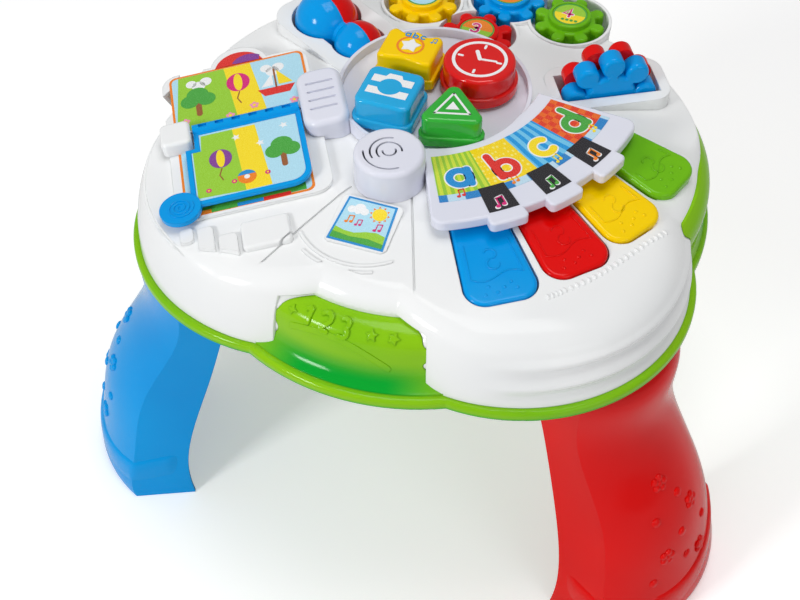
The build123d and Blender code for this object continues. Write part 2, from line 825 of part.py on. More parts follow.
# Console: round button tray and curved letter panel in one moulding
with BuildPart() as console_shell:
    low = deck_height - 12
    with BuildSketch(flat(panel_x, panel_y, letter_top - letter_thickness)) as plate:
        add(ring_sector(letter_inner, letter_outer, letter_start, letter_end))
        fillet(plate.vertices().sort_by(Axis.X)[-1:], letter_corner)
        fillet(plate.vertices().sort_by(Axis.Y)[:1], letter_corner)
        for angle in bump_angles:
            half = bump_half_angle
            add(ring_sector(letter_outer - 12, letter_outer + bump_reach, angle - half, angle + half))
        far = letter_outer + bump_reach - 1
        fillet(plate.vertices().filter_by(lambda v: hypot(v.X, v.Y) > far), 4)
    extrude(amount=letter_thickness)
    fillet(console_shell.edges().group_by(Axis.Z)[-1], 2)
    with BuildSketch(flat(panel_x, panel_y, low)):
        add(ring_sector(letter_inner + 1, letter_support, letter_start, letter_end))
    extrude(amount=letter_top - 3 - low)
    with BuildSketch(flat(tray_x, tray_y, low)):
        Circle(tray_radius)
    extrude(amount=tray_rim - low)
    with BuildSketch(flat(tray_x, tray_y, tray_floor)):
        Circle(tray_radius - tray_wall)
    extrude(amount=letter_top + 1 - tray_floor, mode=Mode.SUBTRACT)
    with BuildSketch(level(low)):
        with Locations((drum_x, drum_y)):
            Circle(drum_radius + free_gap)
        with Locations(*buttons.values()):
            Circle(stem_radius + running_clearance)
            with Locations((lamp_offset, 0)):
                Circle(lamp_radius + seat_gap)
    extrude(amount=letter_top + 1 - low, mode=Mode.SUBTRACT)
    add(dome(seat_gap), mode=Mode.SUBTRACT)
    add(roller_trays(seat_gap, seat_gap), mode=Mode.SUBTRACT)
save(console_shell.part, "console_shell")

# Letter print on the curved panel
with BuildPart() as letter_print:
    with BuildSketch(flat(panel_x, panel_y, letter_top)) as sheet:
        end = print_start + print_pitch * print_count
        add(ring_sector(print_inner, print_outer, print_start, end))
        fillet(sheet.vertices(), 4)
        for angle in bump_angles:
            add(ring_sector(print_outer - 6, letter_outer - 3, angle - 4, angle + 4))
    extrude(amount=print_thickness)
save(letter_print.part, "letter_print")

# Speaker cover: a drum with a coil of slots in its top
with BuildPart() as speaker_cover:
    with BuildSketch(flat(drum_x, drum_y, deck_height + seat_gap)):
        Circle(drum_radius)
    extrude(amount=drum_top - deck_height - seat_gap)
    fillet(speaker_cover.edges().sort_by(Axis.Z)[-1], 4)
    with BuildSketch(flat(drum_x, drum_y, deck_height + seat_gap)):
        Circle(drum_radius - drum_wall)
    extrude(amount=drum_top - deck_height - seat_gap - drum_wall, mode=Mode.SUBTRACT)
    with BuildSketch(flat(drum_x, drum_y, drum_top + 1)):
        for radius, start, size in sound_slots:
            with BuildLine(mode=Mode.PRIVATE) as run:
                CenterArc((0, 0), radius, start, size)
            SlotArc(run.edges()[0], sound_slot_width)
    extrude(amount=-drum_wall - 2, mode=Mode.SUBTRACT)
save(speaker_cover.part, "speaker_cover")

# Loudspeaker under the deck: flange, basket and magnet
with BuildPart() as loudspeaker:
    flange_top = deck_height - shell_wall - seat_gap
    with BuildSketch(flat(drum_x, drum_y, flange_top)):
        Circle(speaker_flange)
    extrude(amount=-2)
    with BuildSketch(flat(drum_x, drum_y, flange_top - 2)):
        Circle(speaker_radius)
    extrude(amount=-speaker_depth, taper=20)
    with BuildSketch(flat(drum_x, drum_y, flange_top - speaker_depth - 2)):
        Circle(speaker_radius / 2)
    extrude(amount=-5)
    with BuildSketch(flat(drum_x, drum_y, flange_top)):
        Circle(speaker_radius - 2)
    extrude(amount=-5, taper=50, mode=Mode.SUBTRACT)
save(loudspeaker.part, "loudspeaker")

# Front label on its pad
with BuildPart() as front_label:
    with BuildSketch(label_plane()) as sheet:
        half_top, half_foot, half_long = label_top_width / 2, label_foot_width / 2, label_length / 2
        top_corners = [(-half_top, -half_long), (half_top, -half_long)]
        foot_corners = [(half_foot, half_long), (-half_foot, half_long)]
        with Locations((-label_x, -label_y)):
            Polygon(*top_corners, *foot_corners)
        fillet(sheet.vertices(), 4)
    extrude(amount=print_thickness)
save(front_label.part, "front_label")

# Book: base print, arm and hinge block that stay on the table
with BuildPart() as book_print:
    with BuildSketch(book_plane()) as sheet:
        upper = (hinge_side + 7, book_far - 3, book_start + 3, book_end - 6)
        lower = (book_near + 3, hinge_side - 7, page_start, book_end - 7)
        for near, far, start, end in (upper, lower):
            with Locations(((near + far) / 2, (start + end) / 2)):
                RectangleRounded(far - near, end - start, 6)
        with Locations((ear_place[0] - 3, ear_place[1])):
            Circle(ear_radius - 3)
        with Locations((hinge_side + 3, ear_place[1])):
            Rectangle(6, 2 * ear_radius, mode=Mode.SUBTRACT)
        with Locations(((block_near + block_far) / 2, (block_start + block_end) / 2)):
            Rectangle(block_far - block_near + 2, block_end - block_start + 2, mode=Mode.SUBTRACT)
    extrude(amount=print_thickness)
save(book_print.part, "book_print")

with BuildPart() as hinge_block:
    with BuildSketch(book_plane(seat_gap)):
        with Locations(((block_near + block_far) / 2, (block_start + block_end) / 2)):
            RectangleRounded(block_far - block_near, block_end - block_start, 5)
    extrude(amount=block_height)
    fillet(hinge_block.faces().sort_by(Axis.Z)[-1].edges(), 3)
pin_line = Plane(
    book_plane().from_local_coords((hinge_side, 0, spine_lift)),
    x_dir=book_plane().x_dir,
    z_dir=book_plane().y_dir,
)
with BuildPart() as pin_hole:
    with BuildSketch(pin_line.offset(arm_start)):
        Circle(pin_radius + running_clearance)
    extrude(amount=book_end + 1 - arm_start)

with BuildPart() as hinge_block_bored:
    add(hinge_block.part)
    add(pin_hole.part, mode=Mode.SUBTRACT)
save(hinge_block_bored.part, "hinge_block")

# Arm at the inner end of the book's spine, with three ridges
with BuildPart() as book_arm:
    with BuildSketch(book_plane(-12)):
        with Locations(((arm_near + arm_far) / 2, (arm_start + arm_end) / 2)):
            RectangleRounded(arm_far - arm_near, arm_end - arm_start, 12)
    extrude(amount=12 + arm_height)
    fillet(book_arm.faces().sort_by(Axis.Z)[-1].edges(), 5)
    with BuildSketch(book_plane(arm_height + 1)):
        with Locations(((arm_near + arm_far) / 2, (arm_start + arm_end) / 2)):
            with GridLocations(10, 0, 4, 1):
                SlotOverall(22, 2, rotation=90)
    extrude(amount=-2.6, mode=Mode.SUBTRACT)
    add(pin_hole.part, mode=Mode.SUBTRACT)
    add(dome(seat_gap), mode=Mode.SUBTRACT)
    add(book_block(seat_gap, seat_gap + print_thickness), mode=Mode.SUBTRACT)
    add(disc(tray_x, tray_y, tray_radius + seat_gap, deck_height - 20, letter_top), mode=Mode.SUBTRACT)
save(book_arm.part, "book_arm")

# Steel pin through the spine
with BuildPart() as page_hinge_pin:
    with BuildSketch(pin_line.offset(arm_start + 12)):
        Circle(pin_radius)
    extrude(amount=block_end - 3 - arm_start - 12)
save(page_hinge_pin.part, "page_hinge_pin")

# Page: framed leaf with a slotted spine and a round tab
page_near = hinge_side - page_depth
page_low = spine_lift - page_thickness / 2


def page_outline(inset):
    """Leaf outline with rounded corners, clear of the hinge block."""
    with BuildSketch() as leaf:
        middle = ((page_near + hinge_side) / 2, (page_start + page_end) / 2)
        with Locations(middle):
            Rectangle(page_depth - 2 * inset, page_end - page_start - 2 * inset)
        fillet(leaf.vertices().sort_by(Axis.X)[:2].sort_by(Axis.Y)[0], page_corner - inset)
        notch = (block_far - block_near) + 2 * inset + 4
        with Locations((hinge_side, page_end)):
            Rectangle(notch + 14, 2 * (page_end - block_start + 1.5 + inset), mode=Mode.SUBTRACT)
    return leaf.sketch


with BuildPart() as page_frame:
    with BuildSketch(book_plane(page_low)):
        add(page_outline(0))
    extrude(amount=page_thickness)
    with BuildSketch(book_plane(page_low - 0.5)):
        with Locations(tab_place):
            Circle(tab_radius)
    extrude(amount=page_thickness + 1)
    with BuildSketch(pin_line.offset(page_start + free_gap)):
        Circle(spine_radius)
    extrude(amount=block_start - 1.5 - page_start - free_gap)
    for side, depth in ((page_low + page_thickness, -0.6), (page_low, 0.6)):
        with BuildSketch(book_plane(side)):
            add(page_outline(4))
            with Locations((hinge_side, (page_start + page_end) / 2)):
                Rectangle(2 * spine_radius + 4, page_end - page_start, mode=Mode.SUBTRACT)
            with Locations(tab_place):
                Circle(tab_radius, mode=Mode.SUBTRACT)
        extrude(amount=depth, mode=Mode.SUBTRACT)
    with BuildSketch(book_plane(spine_lift + spine_radius + 1)):
        with Locations((hinge_side, (page_start + block_start) / 2)):
            with GridLocations(0, 13.4, 1, spine_slots):
                Rectangle(3.4, 6.4)
    extrude(amount=-3.2, mode=Mode.SUBTRACT)
    with BuildSketch(pin_line.offset(page_start - 1)):
        Circle(pin_radius + running_clearance)
    extrude(amount=page_end - page_start, mode=Mode.SUBTRACT)
save(page_frame.part, "page_frame")

for label, low, amount in (("page_front_print", page_low + page_thickness - 0.6, 0.4),
                           ("page_back_print", page_low + 0.6, -0.4)):
    with BuildPart() as page_print:
        with BuildSketch(book_plane(low)):
            add(page_outline(4.2))
            with Locations((hinge_side, (page_start + page_end) / 2)):
                Rectangle(2 * spine_radius + 4.4, page_end - page_start, mode=Mode.SUBTRACT)
            with Locations(tab_place):
                Circle(tab_radius + 0.2, mode=Mode.SUBTRACT)
        extrude(amount=amount)
    save(page_print.part, label)


def piano_key(name):
    """Key open below, with a pin bore across its inner end and a plunger over its contact."""
    angle = key_angles[name]
    top = key_plane(angle)
    with BuildPart() as key:
        with BuildSketch(top):
            add(key_face(name))
        extrude(amount=-key_thickness)
        fillet(key.faces().sort_by(Axis.Z)[-1].edges(), 3)
        with BuildSketch(top.offset(-key_thickness)):
            add(key_face(name, -key_wall))
            with Locations((key_inner, 0)):
                Rectangle(2 * (key_pin_reach - key_inner) + 8, key_hinge_cut, mode=Mode.SUBTRACT)
        extrude(amount=key_thickness - key_wall, mode=Mode.SUBTRACT)
        with BuildSketch(top.offset(-key_wall / 2)):
            with Locations((plunger_reach, 0)):
                Circle(plunger_radius)
        extrude(amount=-(plunger_depth - key_wall / 2))
        half = key_pin_reach * sin(radians(key_spread / 2)) + 5
        with BuildSketch(key_pin_plane(name)):
            Circle(key_pin_radius + running_clearance)
        extrude(amount=half, both=True, mode=Mode.SUBTRACT)
    return key.part


def key_pin_plane(name):
    """Plane across a key at its pivot, facing along the pin."""
    top = key_plane(key_angles[name], -key_pin_drop)
    return Plane(top.from_local_coords((key_pin_reach, 0, 0)), x_dir=top.x_dir, z_dir=top.y_dir)


for name in key_angles:
    save(piano_key(name), f"{name}_key")

# Steel pivot pins of the keys
with BuildPart() as key_pins:
    for name in key_angles:
        half = key_pin_reach * sin(radians(key_spread / 2)) + key_gap + key_pin_bite - free_gap
        with BuildSketch(key_pin_plane(name)):
            Circle(key_pin_radius)
        extrude(amount=half, both=True)
save(key_pins.part, "key_pivot_pins")

# Contact strip and rubber dome on the floor of each key well
with BuildPart() as key_contacts:
    for name, angle in key_angles.items():
        with BuildSketch(key_plane(angle, -(key_well_depth + key_gap))):
            with Locations((plunger_reach, 0)):
                Rectangle(contact_length, contact_width)
        extrude(amount=contact_thickness)
save(key_contacts.part, "key_contacts")

with BuildPart() as key_pads:
    for name, angle in key_angles.items():
        floor = -(key_well_depth + key_gap) + contact_thickness
        press = (plunger_reach - key_pin_reach) * sin(radians(key_travel)) + free_gap
        with BuildSketch(key_plane(angle, floor)):
            with Locations((plunger_reach, 0)):
                Circle(plunger_radius + 2)
        extrude(amount=-plunger_depth - floor - press, taper=15)
save(key_pads.part, "key_pads")


def button_shape(name, inset=0.0):
    """Plan outline of a push button about its own centre."""
    with BuildSketch() as face:
        if name == "clock":
            Circle(clock_radius - inset)
        elif name == "camera":
            RectangleRounded(square_side - 2 * inset, square_side - 2 * inset, 9 - inset * 0.6)
        elif name == "play":
            corner = 9.0
            points = []
            for turn in (105.0, 225.0, 345.0):
                reach = triangle_radius - corner
                points.append((reach * cos(radians(turn)), reach * sin(radians(turn))))
            Polygon(*points, align=None)
            offset(amount=corner - inset)
        else:
            half = square_side / 2 - inset
            with BuildLine():
                Line((-half, -18), (-half, 13))
                Spline((-half, 13), (-half * 0.72, 20 - inset), (-half * 0.4, 17 - inset), (0, 21 - inset),
                       (half * 0.4, 17 - inset), (half * 0.72, 20 - inset), (half, 13))
                Line((half, 13), (half, -18))
                Spline((half, -18), (half * 0.5, -21 + inset), (0, -19 + inset), (-half * 0.5, -21 + inset),
                       (-half, -18))
            make_face()
            fillet(face.vertices(), 3)
    return face.sketch


def push_button(name):
    """Hollow button with a stepped skirt, a stem and a snap collar under the deck."""
    x, y = buttons[name]
    with BuildPart() as button:
        with BuildSketch(flat(x, y, button_base)):
            add(button_shape(name))
        extrude(amount=8)
        fillet(button.faces().sort_by(Axis.Z)[-1].edges(), 1.5)
        with BuildSketch(flat(x, y, button_base + 7)):
            add(button_shape(name, 2.4))
        extrude(amount=button_top - button_base - 7)
        fillet(button.faces().sort_by(Axis.Z)[-1].edges(), 3)
        with BuildSketch(flat(x, y, button_base)):
            add(button_shape(name, button_wall + 2.4))
        extrude(amount=button_top - button_base - button_wall - 0.8, mode=Mode.SUBTRACT)
        with BuildSketch(flat(x, y, stem_bottom)):
            Circle(stem_radius)
        extrude(amount=button_top - button_wall - stem_bottom)
        collar_low = deck_height + seat_gap - free_gap - collar_height
        with BuildSketch(flat(x, y, collar_low)):
            Circle(collar_radius)
        extrude(amount=collar_height)
    return button.part


for name in buttons:
    save(push_button(name), f"{name}_button")

# Circuit board with a rubber dome and a lamp for every button
with BuildPart() as circuit_board:
    with BuildSketch(flat(board_x, board_y, board_height)):
        RectangleRounded(board_side, board_side, 3)
    extrude(amount=board_thickness)
    with BuildSketch(level(board_height)):
        with Locations(*board_posts()):
            Circle(screw_radius + running_clearance)
    extrude(amount=board_thickness, mode=Mode.SUBTRACT)
save(circuit_board.part, "circuit_board")

with BuildPart() as button_pads:
    with BuildSketch(level(board_top)):
        with Locations(*buttons.values()):
            Circle(pad_radius)
    extrude(amount=stem_bottom - button_travel - free_gap - board_top, taper=20)
save(button_pads.part, "button_pads")

with BuildPart() as button_lamps:
    with BuildSketch(level(board_top)):
        with Locations(*buttons.values()):
            with Locations((lamp_offset, 0)):
                Circle(lamp_radius)
    extrude(amount=tray_floor - 1 - board_top)
save(button_lamps.part, "button_lamps")
save(screws(board_posts(), board_height - screw_head_height, 8), "board_screws")


def gear_phases():
    """Turn of each gear at rest, so that neighbours' teeth and gaps meet."""
    pitch = 360.0 / tooth_count
    phases = {"yellow": 0.0, "blue": blue_phase}
    for name in ("red", "green"):
        x, y = gears[name]
        heading = degrees(atan2(y - gears["blue"][1], x - gears["blue"][0]))
        phases[name] = 2 * heading + 180.0 - blue_phase - pitch / 2
    return phases


def play_gear(name):
    """Gear with round teeth, a raised hub and a recess for its label."""
    x, y = gears[name]
    phase = gear_phases()[name]
    with BuildPart() as wheel:
        with BuildSketch(flat(x, y, gear_bottom, phase)) as outline:
            Circle(gear_root)
            with PolarLocations(gear_tip - tooth_radius, tooth_count):
                Circle(tooth_radius)
            with PolarLocations(gear_root - 1, tooth_count):
                Rectangle(2 * tooth_radius, 2 * tooth_radius - 1)
        extrude(amount=gear_top - gear_bottom)
        fillet(wheel.edges().group_by(Axis.Z)[-1], 2.4)
        with BuildSketch(flat(x, y, gear_top)):
            Circle(hub_radius)
        extrude(amount=hub_top - gear_top)
        fillet(wheel.edges().group_by(Axis.Z)[-1], 1.5)
        with BuildSketch(flat(x, y, hub_top)):
            Circle(gear_label_radius)
        extrude(amount=-label_recess, mode=Mode.SUBTRACT)
        with BuildSketch(flat(x, y, gear_bottom)):
            Circle(shaft_radius + running_clearance)
        extrude(amount=hub_top - 3 - gear_bottom, mode=Mode.SUBTRACT)
    return wheel.part


for name, (x, y) in gears.items():
    save(play_gear(name), f"{name}_gear")
    with BuildPart() as gear_label:
        with BuildSketch(flat(x, y, hub_top - label_recess)):
            Circle(gear_label_radius - seat_gap)
        extrude(amount=print_thickness)
    save(gear_label.part, f"{name}_gear_label")

# Shafts of the four gears, with the collars that they ride on
with BuildPart() as gear_shafts:
    with BuildSketch(level(bowl_floor - shell_wall)):
        with Locations(*gears.values()):
            Circle(shaft_radius)
    extrude(amount=hub_top - 3.5 - bowl_floor + shell_wall)
    with BuildSketch(level(bowl_floor)):
        with Locations(*gears.values()):
            Circle(collar_of_shaft)
    extrude(amount=gear_bottom - seat_gap - bowl_floor)
save(gear_shafts.part, "gear_shafts")


def flower_half_part(side, turn):
    """Half of the flower roller, with round petals, on one side of its middle."""
    plane = upright(flower_x, flower_y, flower_angle + 90)
    with BuildPart() as half:
        with BuildSketch(plane) as outline:
            with Locations(Location((0, roller_height), turn)):
                Circle(flower_tip - 2 * petal_radius + 2)
                with PolarLocations(flower_tip - petal_radius, petal_count):
                    Circle(petal_radius)
        extrude(amount=side * flower_half)
        outer = half.faces().sort_by(Axis(plane.origin, plane.z_dir))[-1 if side > 0 else 0]
        fillet(outer.edges(), 3.5)
        with BuildSketch(plane):
            with Locations((0, roller_height)):
                Circle(axle_radius + running_clearance)
        extrude(amount=side * (flower_half + 1), mode=Mode.SUBTRACT)
    return half.part


save(flower_half_part(1, 0), "flower_blue_half")
save(flower_half_part(-1, 180 / petal_count), "flower_red_half")

with BuildPart() as flower_axle:
    with BuildSketch(upright(flower_x, flower_y, flower_angle + 90)):
        with Locations((0, roller_height)):
            Circle(axle_radius)
    extrude(amount=flower_half + pit_gap + axle_seat - seat_gap, both=True)
save(flower_axle.part, "flower_axle")


def barrel_half(side):
    """Half of the barrel roller: a big and a small ball in one, split upright along the axle."""
    plane = upright(barrel_x, barrel_y, barrel_angle)
    bore = axle_radius + running_clearance
    middle = (0, roller_height)
    with BuildPart() as half:
        with BuildSketch(plane):
            with Locations(middle):
                Circle(big_ball)
            with Locations((ball_spacing, roller_height)):
                Circle(small_ball)
            with Locations((ball_spacing / 2 + 4, roller_height)):
                Rectangle(ball_spacing - 22, barrel_neck)
            with Locations((0, roller_height + bore - cut_size)):
                Rectangle(2 * cut_size, 2 * cut_size, mode=Mode.SUBTRACT)
        line = Axis(plane.from_local_coords((0, roller_height, 0)), plane.x_dir * side)
        revolve(axis=line, revolution_arc=180)
    return half.part


save(barrel_half(1), "barrel_blue_half")
save(barrel_half(-1), "barrel_red_half")

with BuildPart() as barrel_axle:
    reach_out = big_ball + pit_gap + axle_seat - seat_gap
    reach_in = ball_spacing + small_ball + pit_gap + axle_seat - seat_gap
    with BuildSketch(upright(barrel_x, barrel_y, barrel_angle + 90).offset(-reach_out)):
        with Locations((0, roller_height)):
            Circle(axle_radius)
    extrude(amount=reach_out + reach_in)
save(barrel_axle.part, "barrel_axle")

# Three cells lie side by side in the bay under the table
cell_height = leg_top_height + door_thickness + cell_radius + 1


def cell_rows():
    """Plan distance of each cell from the middle of the bay."""
    return [(row - (cell_count - 1) / 2) * cell_pitch for row in range(cell_count)]


with BuildPart() as batteries:
    for row in cell_rows():
        with BuildSketch(upright(bay_x, bay_y + row, 90).offset(-cell_length / 2)):
            with Locations((0, cell_height)):
                Circle(cell_radius)
        extrude(amount=cell_length - 1)
        with BuildSketch(upright(bay_x, bay_y + row, 90).offset(cell_length / 2 - 1)):
            with Locations((0, cell_height)):
                Circle(cell_radius / 3)
        extrude(amount=1)
save(batteries.part, "batteries")

with BuildPart() as battery_contacts:
    for row in cell_rows():
        for side in (-1, 1):
            wall = side * (bay_length / 2 - 0.02)
            with BuildSketch(upright(bay_x, bay_y + row, 90).offset(wall)):
                with Locations((0, cell_height)):
                    Rectangle(cell_radius * 1.5, cell_radius * 1.5)
            extrude(amount=-side * contact_plate)
            with BuildSketch(upright(bay_x, bay_y + row, 90).offset(wall - side * contact_plate)):
                with Locations((0, cell_height)):
                    Circle(cell_radius * 0.6)
            gap = bay_length / 2 - contact_plate - cell_length / 2 - free_gap
            extrude(amount=-side * gap, taper=20)
save(battery_contacts.part, "battery_contacts")

with BuildPart() as battery_door:
    with BuildSketch(flat(bay_x, bay_y, leg_top_height)):
        Rectangle(bay_length + 2 * door_margin - 2 * free_gap, bay_width + 2 * door_margin - 2 * free_gap)
    extrude(amount=door_thickness)
    with BuildSketch(flat(bay_x, bay_y + bay_width / 2 + door_screw_side, leg_top_height)):
        Circle(screw_radius + running_clearance)
    extrude(amount=door_thickness, mode=Mode.SUBTRACT)
save(battery_door.part, "battery_door")

door_screw_spot = (bay_x, bay_y + bay_width / 2 + door_screw_side)
door_screw_length = base_wall + door_boss_height - 4
shell_screw_length = rim_thickness - screw_head_height + boss_height - 4
save(screws([door_screw_spot], leg_top_height - screw_head_height, door_screw_length), "battery_door_screw")
save(screws(screw_spots(), leg_top_height, shell_screw_length), "shell_screws")
leg_screw_spots = []
for angle in leg_angles.values():
    leg_screw_spots.append(spot(angle, spigot_reach, leg_screw_side))
    leg_screw_spots.append(spot(angle, spigot_reach, -leg_screw_side))
leg_screw_low = leg_top_height - leg_plate - screw_head_height
save(screws(leg_screw_spots, leg_screw_low, leg_plate + base_wall + leg_boss_height - 1), "leg_screws")

# Power switch: a slider with a finger knob, and the housing over it
with BuildPart() as power_switch:
    with BuildSketch(flat(switch_x, switch_y, leg_top_height - 1)):
        Rectangle(switch_width, switch_length)
    extrude(amount=base_wall + 1 + free_gap + switch_plate)
    with BuildSketch(flat(switch_x, switch_y, plate_top + free_gap)):
        Rectangle(switch_width + 6, switch_length + 6)
    extrude(amount=switch_plate)
save(power_switch.part, "power_switch")

with BuildPart() as switch_housing:
    with BuildSketch(flat(switch_x, switch_y + switch_travel / 2, plate_top)):
        Rectangle(switch_width + 12, switch_length + switch_travel + 14)
    extrude(amount=7)
    with BuildSketch(flat(switch_x, switch_y + switch_travel / 2, plate_top)):
        Rectangle(switch_width + 6 + 2 * free_gap, switch_length + switch_travel + 6 + 2 * free_gap)
    extrude(amount=2 * free_gap + switch_plate, mode=Mode.SUBTRACT)
save(switch_housing.part, "switch_housing")
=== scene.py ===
# %% [markdown]
# # Dressing a baby activity table
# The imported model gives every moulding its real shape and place. This lesson keeps those
# mouldings, gives each one its plastic, and adds what is too fine for the solids: prints,
# raised marks and small ribs. Lengths are written in millimetres and turned into metres by
# one place matrix each, because toy makers draw in millimetres.

# %% Load the fixed frame
import bpy
import bmesh
import json
from math import atan2, cos, degrees, hypot, pi, radians, sin
from mathutils import Matrix, Quaternion, Vector
from mathutils.bvhtree import BVHTree


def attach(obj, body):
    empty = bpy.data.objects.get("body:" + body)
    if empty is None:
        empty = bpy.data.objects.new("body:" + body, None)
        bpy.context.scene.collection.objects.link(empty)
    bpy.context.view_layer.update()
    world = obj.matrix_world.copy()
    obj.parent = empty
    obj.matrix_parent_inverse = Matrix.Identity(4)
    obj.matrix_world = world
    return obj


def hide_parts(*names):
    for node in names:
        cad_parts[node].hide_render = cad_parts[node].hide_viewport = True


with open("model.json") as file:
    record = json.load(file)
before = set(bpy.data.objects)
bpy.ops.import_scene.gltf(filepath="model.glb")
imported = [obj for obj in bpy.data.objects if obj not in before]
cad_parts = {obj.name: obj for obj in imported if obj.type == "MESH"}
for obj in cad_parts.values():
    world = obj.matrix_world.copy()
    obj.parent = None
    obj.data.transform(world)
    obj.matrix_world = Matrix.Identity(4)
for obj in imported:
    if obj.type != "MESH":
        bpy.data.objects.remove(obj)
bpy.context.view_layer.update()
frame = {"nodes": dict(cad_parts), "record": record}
scene = bpy.context.scene
MM = 0.001

# %% [markdown]
# The table's own upright axis stands a little in front of the origin, so that the three feet
# are evenly spread about it. Every plan position is measured from that axis. The heights below
# are the driving sizes of the solids, repeated here so that prints lie on what carries them.

# %% Sizes shared with the solids
AXIS_Y, RIM_HEIGHT = -48.0, 272.0
DECK_HEIGHT, DECK_SLOPE, DECK_FLAT = 344.0, 0.138, 95.0
FAN_X, FAN_Y = -60.0, 100.0
KEY_ANGLES = {"blue": -55.4, "red": -42.4, "yellow": -30.0, "green": -17.2}
KEY_OUTERS = {"blue": 290.0, "red": 284.0, "yellow": 277.0, "green": 269.0}
KEY_INNER, KEY_TOP, KEY_SLOPE, KEY_SPREAD_SLOPE = 198.0, 345.5, 0.125, 0.0985
BUTTONS = {"star": (-39.0, 62.0), "clock": (18.0, 63.0), "camera": (-37.0, 8.0), "play": (16.0, 2.0)}
BUTTON_TOP, GEAR_LABEL_TOP = 376.0, 341.2
GEARS = {"yellow": (-67.0, 171.0), "blue": (3.0, 198.0), "red": (-8.0, 141.0), "green": (60.0, 187.0)}
LEGS = {"front_left_leg": (205.0, "blue"), "front_right_leg": (335.0, "red"), "rear_leg": (90.0, "yellow")}
LETTER_X, LETTER_Y, LETTER_TOP = -42.0, 71.0, 358.0
LABEL_REACH, LOBE_DECK_END = 107.5, 220.0
BOOK_LOBE, PIANO_LOBE, GEAR_LOBE = 210.0, 330.0, 90.0
BOOK_REACH, BOOK_HEIGHT = 145.0, 339.0


def deck_at(reach):
    """Height of the sloping deck at a reach from the table's axis."""
    return DECK_HEIGHT - DECK_SLOPE * (reach - DECK_FLAT)


print("deck at the end of a lobe", deck_at(LOBE_DECK_END))


# %% [markdown]
# A place is a 4 by 4 matrix whose x and y lie in a surface and whose z points out of it. It
# holds the millimetre scale too, so a mark can be drawn flat and land tilted on a key, a page
# or the sloping deck.

# %% Places on the table
def place(origin, x_axis, up):
    x_axis, up = Vector(x_axis).normalized(), Vector(up).normalized()
    y_axis = up.cross(x_axis)
    turn = Matrix((x_axis, y_axis, up)).transposed().to_4x4()
    start = Vector((origin[0], origin[1] + AXIS_Y, origin[2])) * MM
    return Matrix.Translation(start) @ turn @ Matrix.Scale(MM, 4)


def level_place(x, y, height, turn=0.0):
    return place((x, y, height), (cos(radians(turn)), sin(radians(turn)), 0), (0, 0, 1))


def sloped_place(angle, reach, height):
    aim, tilt = radians(angle), atan2(DECK_SLOPE, 1.0)
    up = (cos(aim) * sin(tilt), sin(aim) * sin(tilt), cos(tilt))
    return place((0, 0, height + DECK_SLOPE * reach), (sin(aim), -cos(aim), 0), up)


def key_place(name):
    aim, tilt = radians(KEY_ANGLES[name]), atan2(KEY_SLOPE, 1.0)
    out = (cos(aim) * cos(tilt), sin(aim) * cos(tilt), -sin(tilt))
    up = (cos(aim) * sin(tilt), sin(aim) * sin(tilt), cos(tilt))
    return place((FAN_X, FAN_Y, KEY_TOP + KEY_SLOPE * KEY_INNER), out, up)


def shifted(where, x, y, size=1.0):
    """The same place moved in its plane, with x and y sized and heights as they were."""
    return where @ Matrix.Translation((x, y, 0)) @ Matrix.Diagonal((size, size, 1, 1))


BOOK = sloped_place(BOOK_LOBE, BOOK_REACH, BOOK_HEIGHT)
LABEL = sloped_place(270.0, LABEL_REACH, deck_at(LABEL_REACH) + 1.0)
LETTERS = level_place(LETTER_X, LETTER_Y, LETTER_TOP)
print("book plane at", [round(v, 4) for v in BOOK.translation])


# %% [markdown]
# Objects, nodes and materials are made again and again, so each has one short function. A node
# takes its inputs by name: a plain value is set, and the output of another node is linked.

# %% Helpers for objects, nodes and materials
def new_object(name, data):
    made = bpy.data.objects.new(name, data)
    scene.collection.objects.link(made)
    return made


def finished_mesh(holder):
    """Mesh of an object with its modifiers applied. The object itself is taken away."""
    made = bpy.data.meshes.new_from_object(holder.evaluated_get(bpy.context.evaluated_depsgraph_get()))
    bpy.data.objects.remove(holder)
    return made


def surface_of(mesh):
    return BVHTree.FromPolygons([v.co for v in mesh.vertices], [tuple(p.vertices) for p in mesh.polygons])


def feed(tree, node, inputs):
    """Set or link each named input of a node. None leaves an input as it is."""
    for name, value in inputs.items():
        if isinstance(value, bpy.types.NodeSocket):
            tree.links.new(value, node.inputs[name])
        elif value is not None:
            node.inputs[name].default_value = value
    return node


def add_node(tree, kind, inputs, **settings):
    node = tree.nodes.new(kind)
    for name, value in settings.items():
        setattr(node, name, value)
    return feed(tree, node, inputs)


def math_node(tree, operation, *values):
    return add_node(tree, "ShaderNodeMath", dict(enumerate(values)), operation=operation).outputs[0]


def map_range(tree, value, start, end, low=0.0, high=1.0, way="LINEAR"):
    inputs = {"Value": value, "From Min": start, "From Max": end, "To Min": low, "To Max": high}
    return add_node(tree, "ShaderNodeMapRange", inputs, interpolation_type=way).outputs["Result"]


def mix_colours(tree, part, first, second):
    inputs = {"Factor": part, "A": first, "B": second}
    return add_node(tree, "ShaderNodeMix", inputs, data_type="RGBA").outputs["Result"]


def object_place(tree):
    return tree.nodes.new("ShaderNodeTexCoord").outputs["Object"]


def new_stuff(name):
    """New material with its node tree and its Principled shader."""
    stuff = bpy.data.materials.new(name)
    stuff.use_nodes = True
    return stuff, stuff.node_tree, stuff.node_tree.nodes["Principled BSDF"]


def new_group(name, tree_kind, takes, gives):
    """Node group with named inputs and outputs, its input's outputs, and its output node."""
    tree = bpy.data.node_groups.new(name, tree_kind)
    for side, sockets in (("INPUT", takes), ("OUTPUT", gives)):
        for title, (kind, *default) in sockets.items():
            made = tree.interface.new_socket(name=title, in_out=side, socket_type="NodeSocket" + kind)
            if default:
                made.default_value = default[0]
    return tree, tree.nodes.new("NodeGroupInput").outputs, tree.nodes.new("NodeGroupOutput")


print("helpers ready")

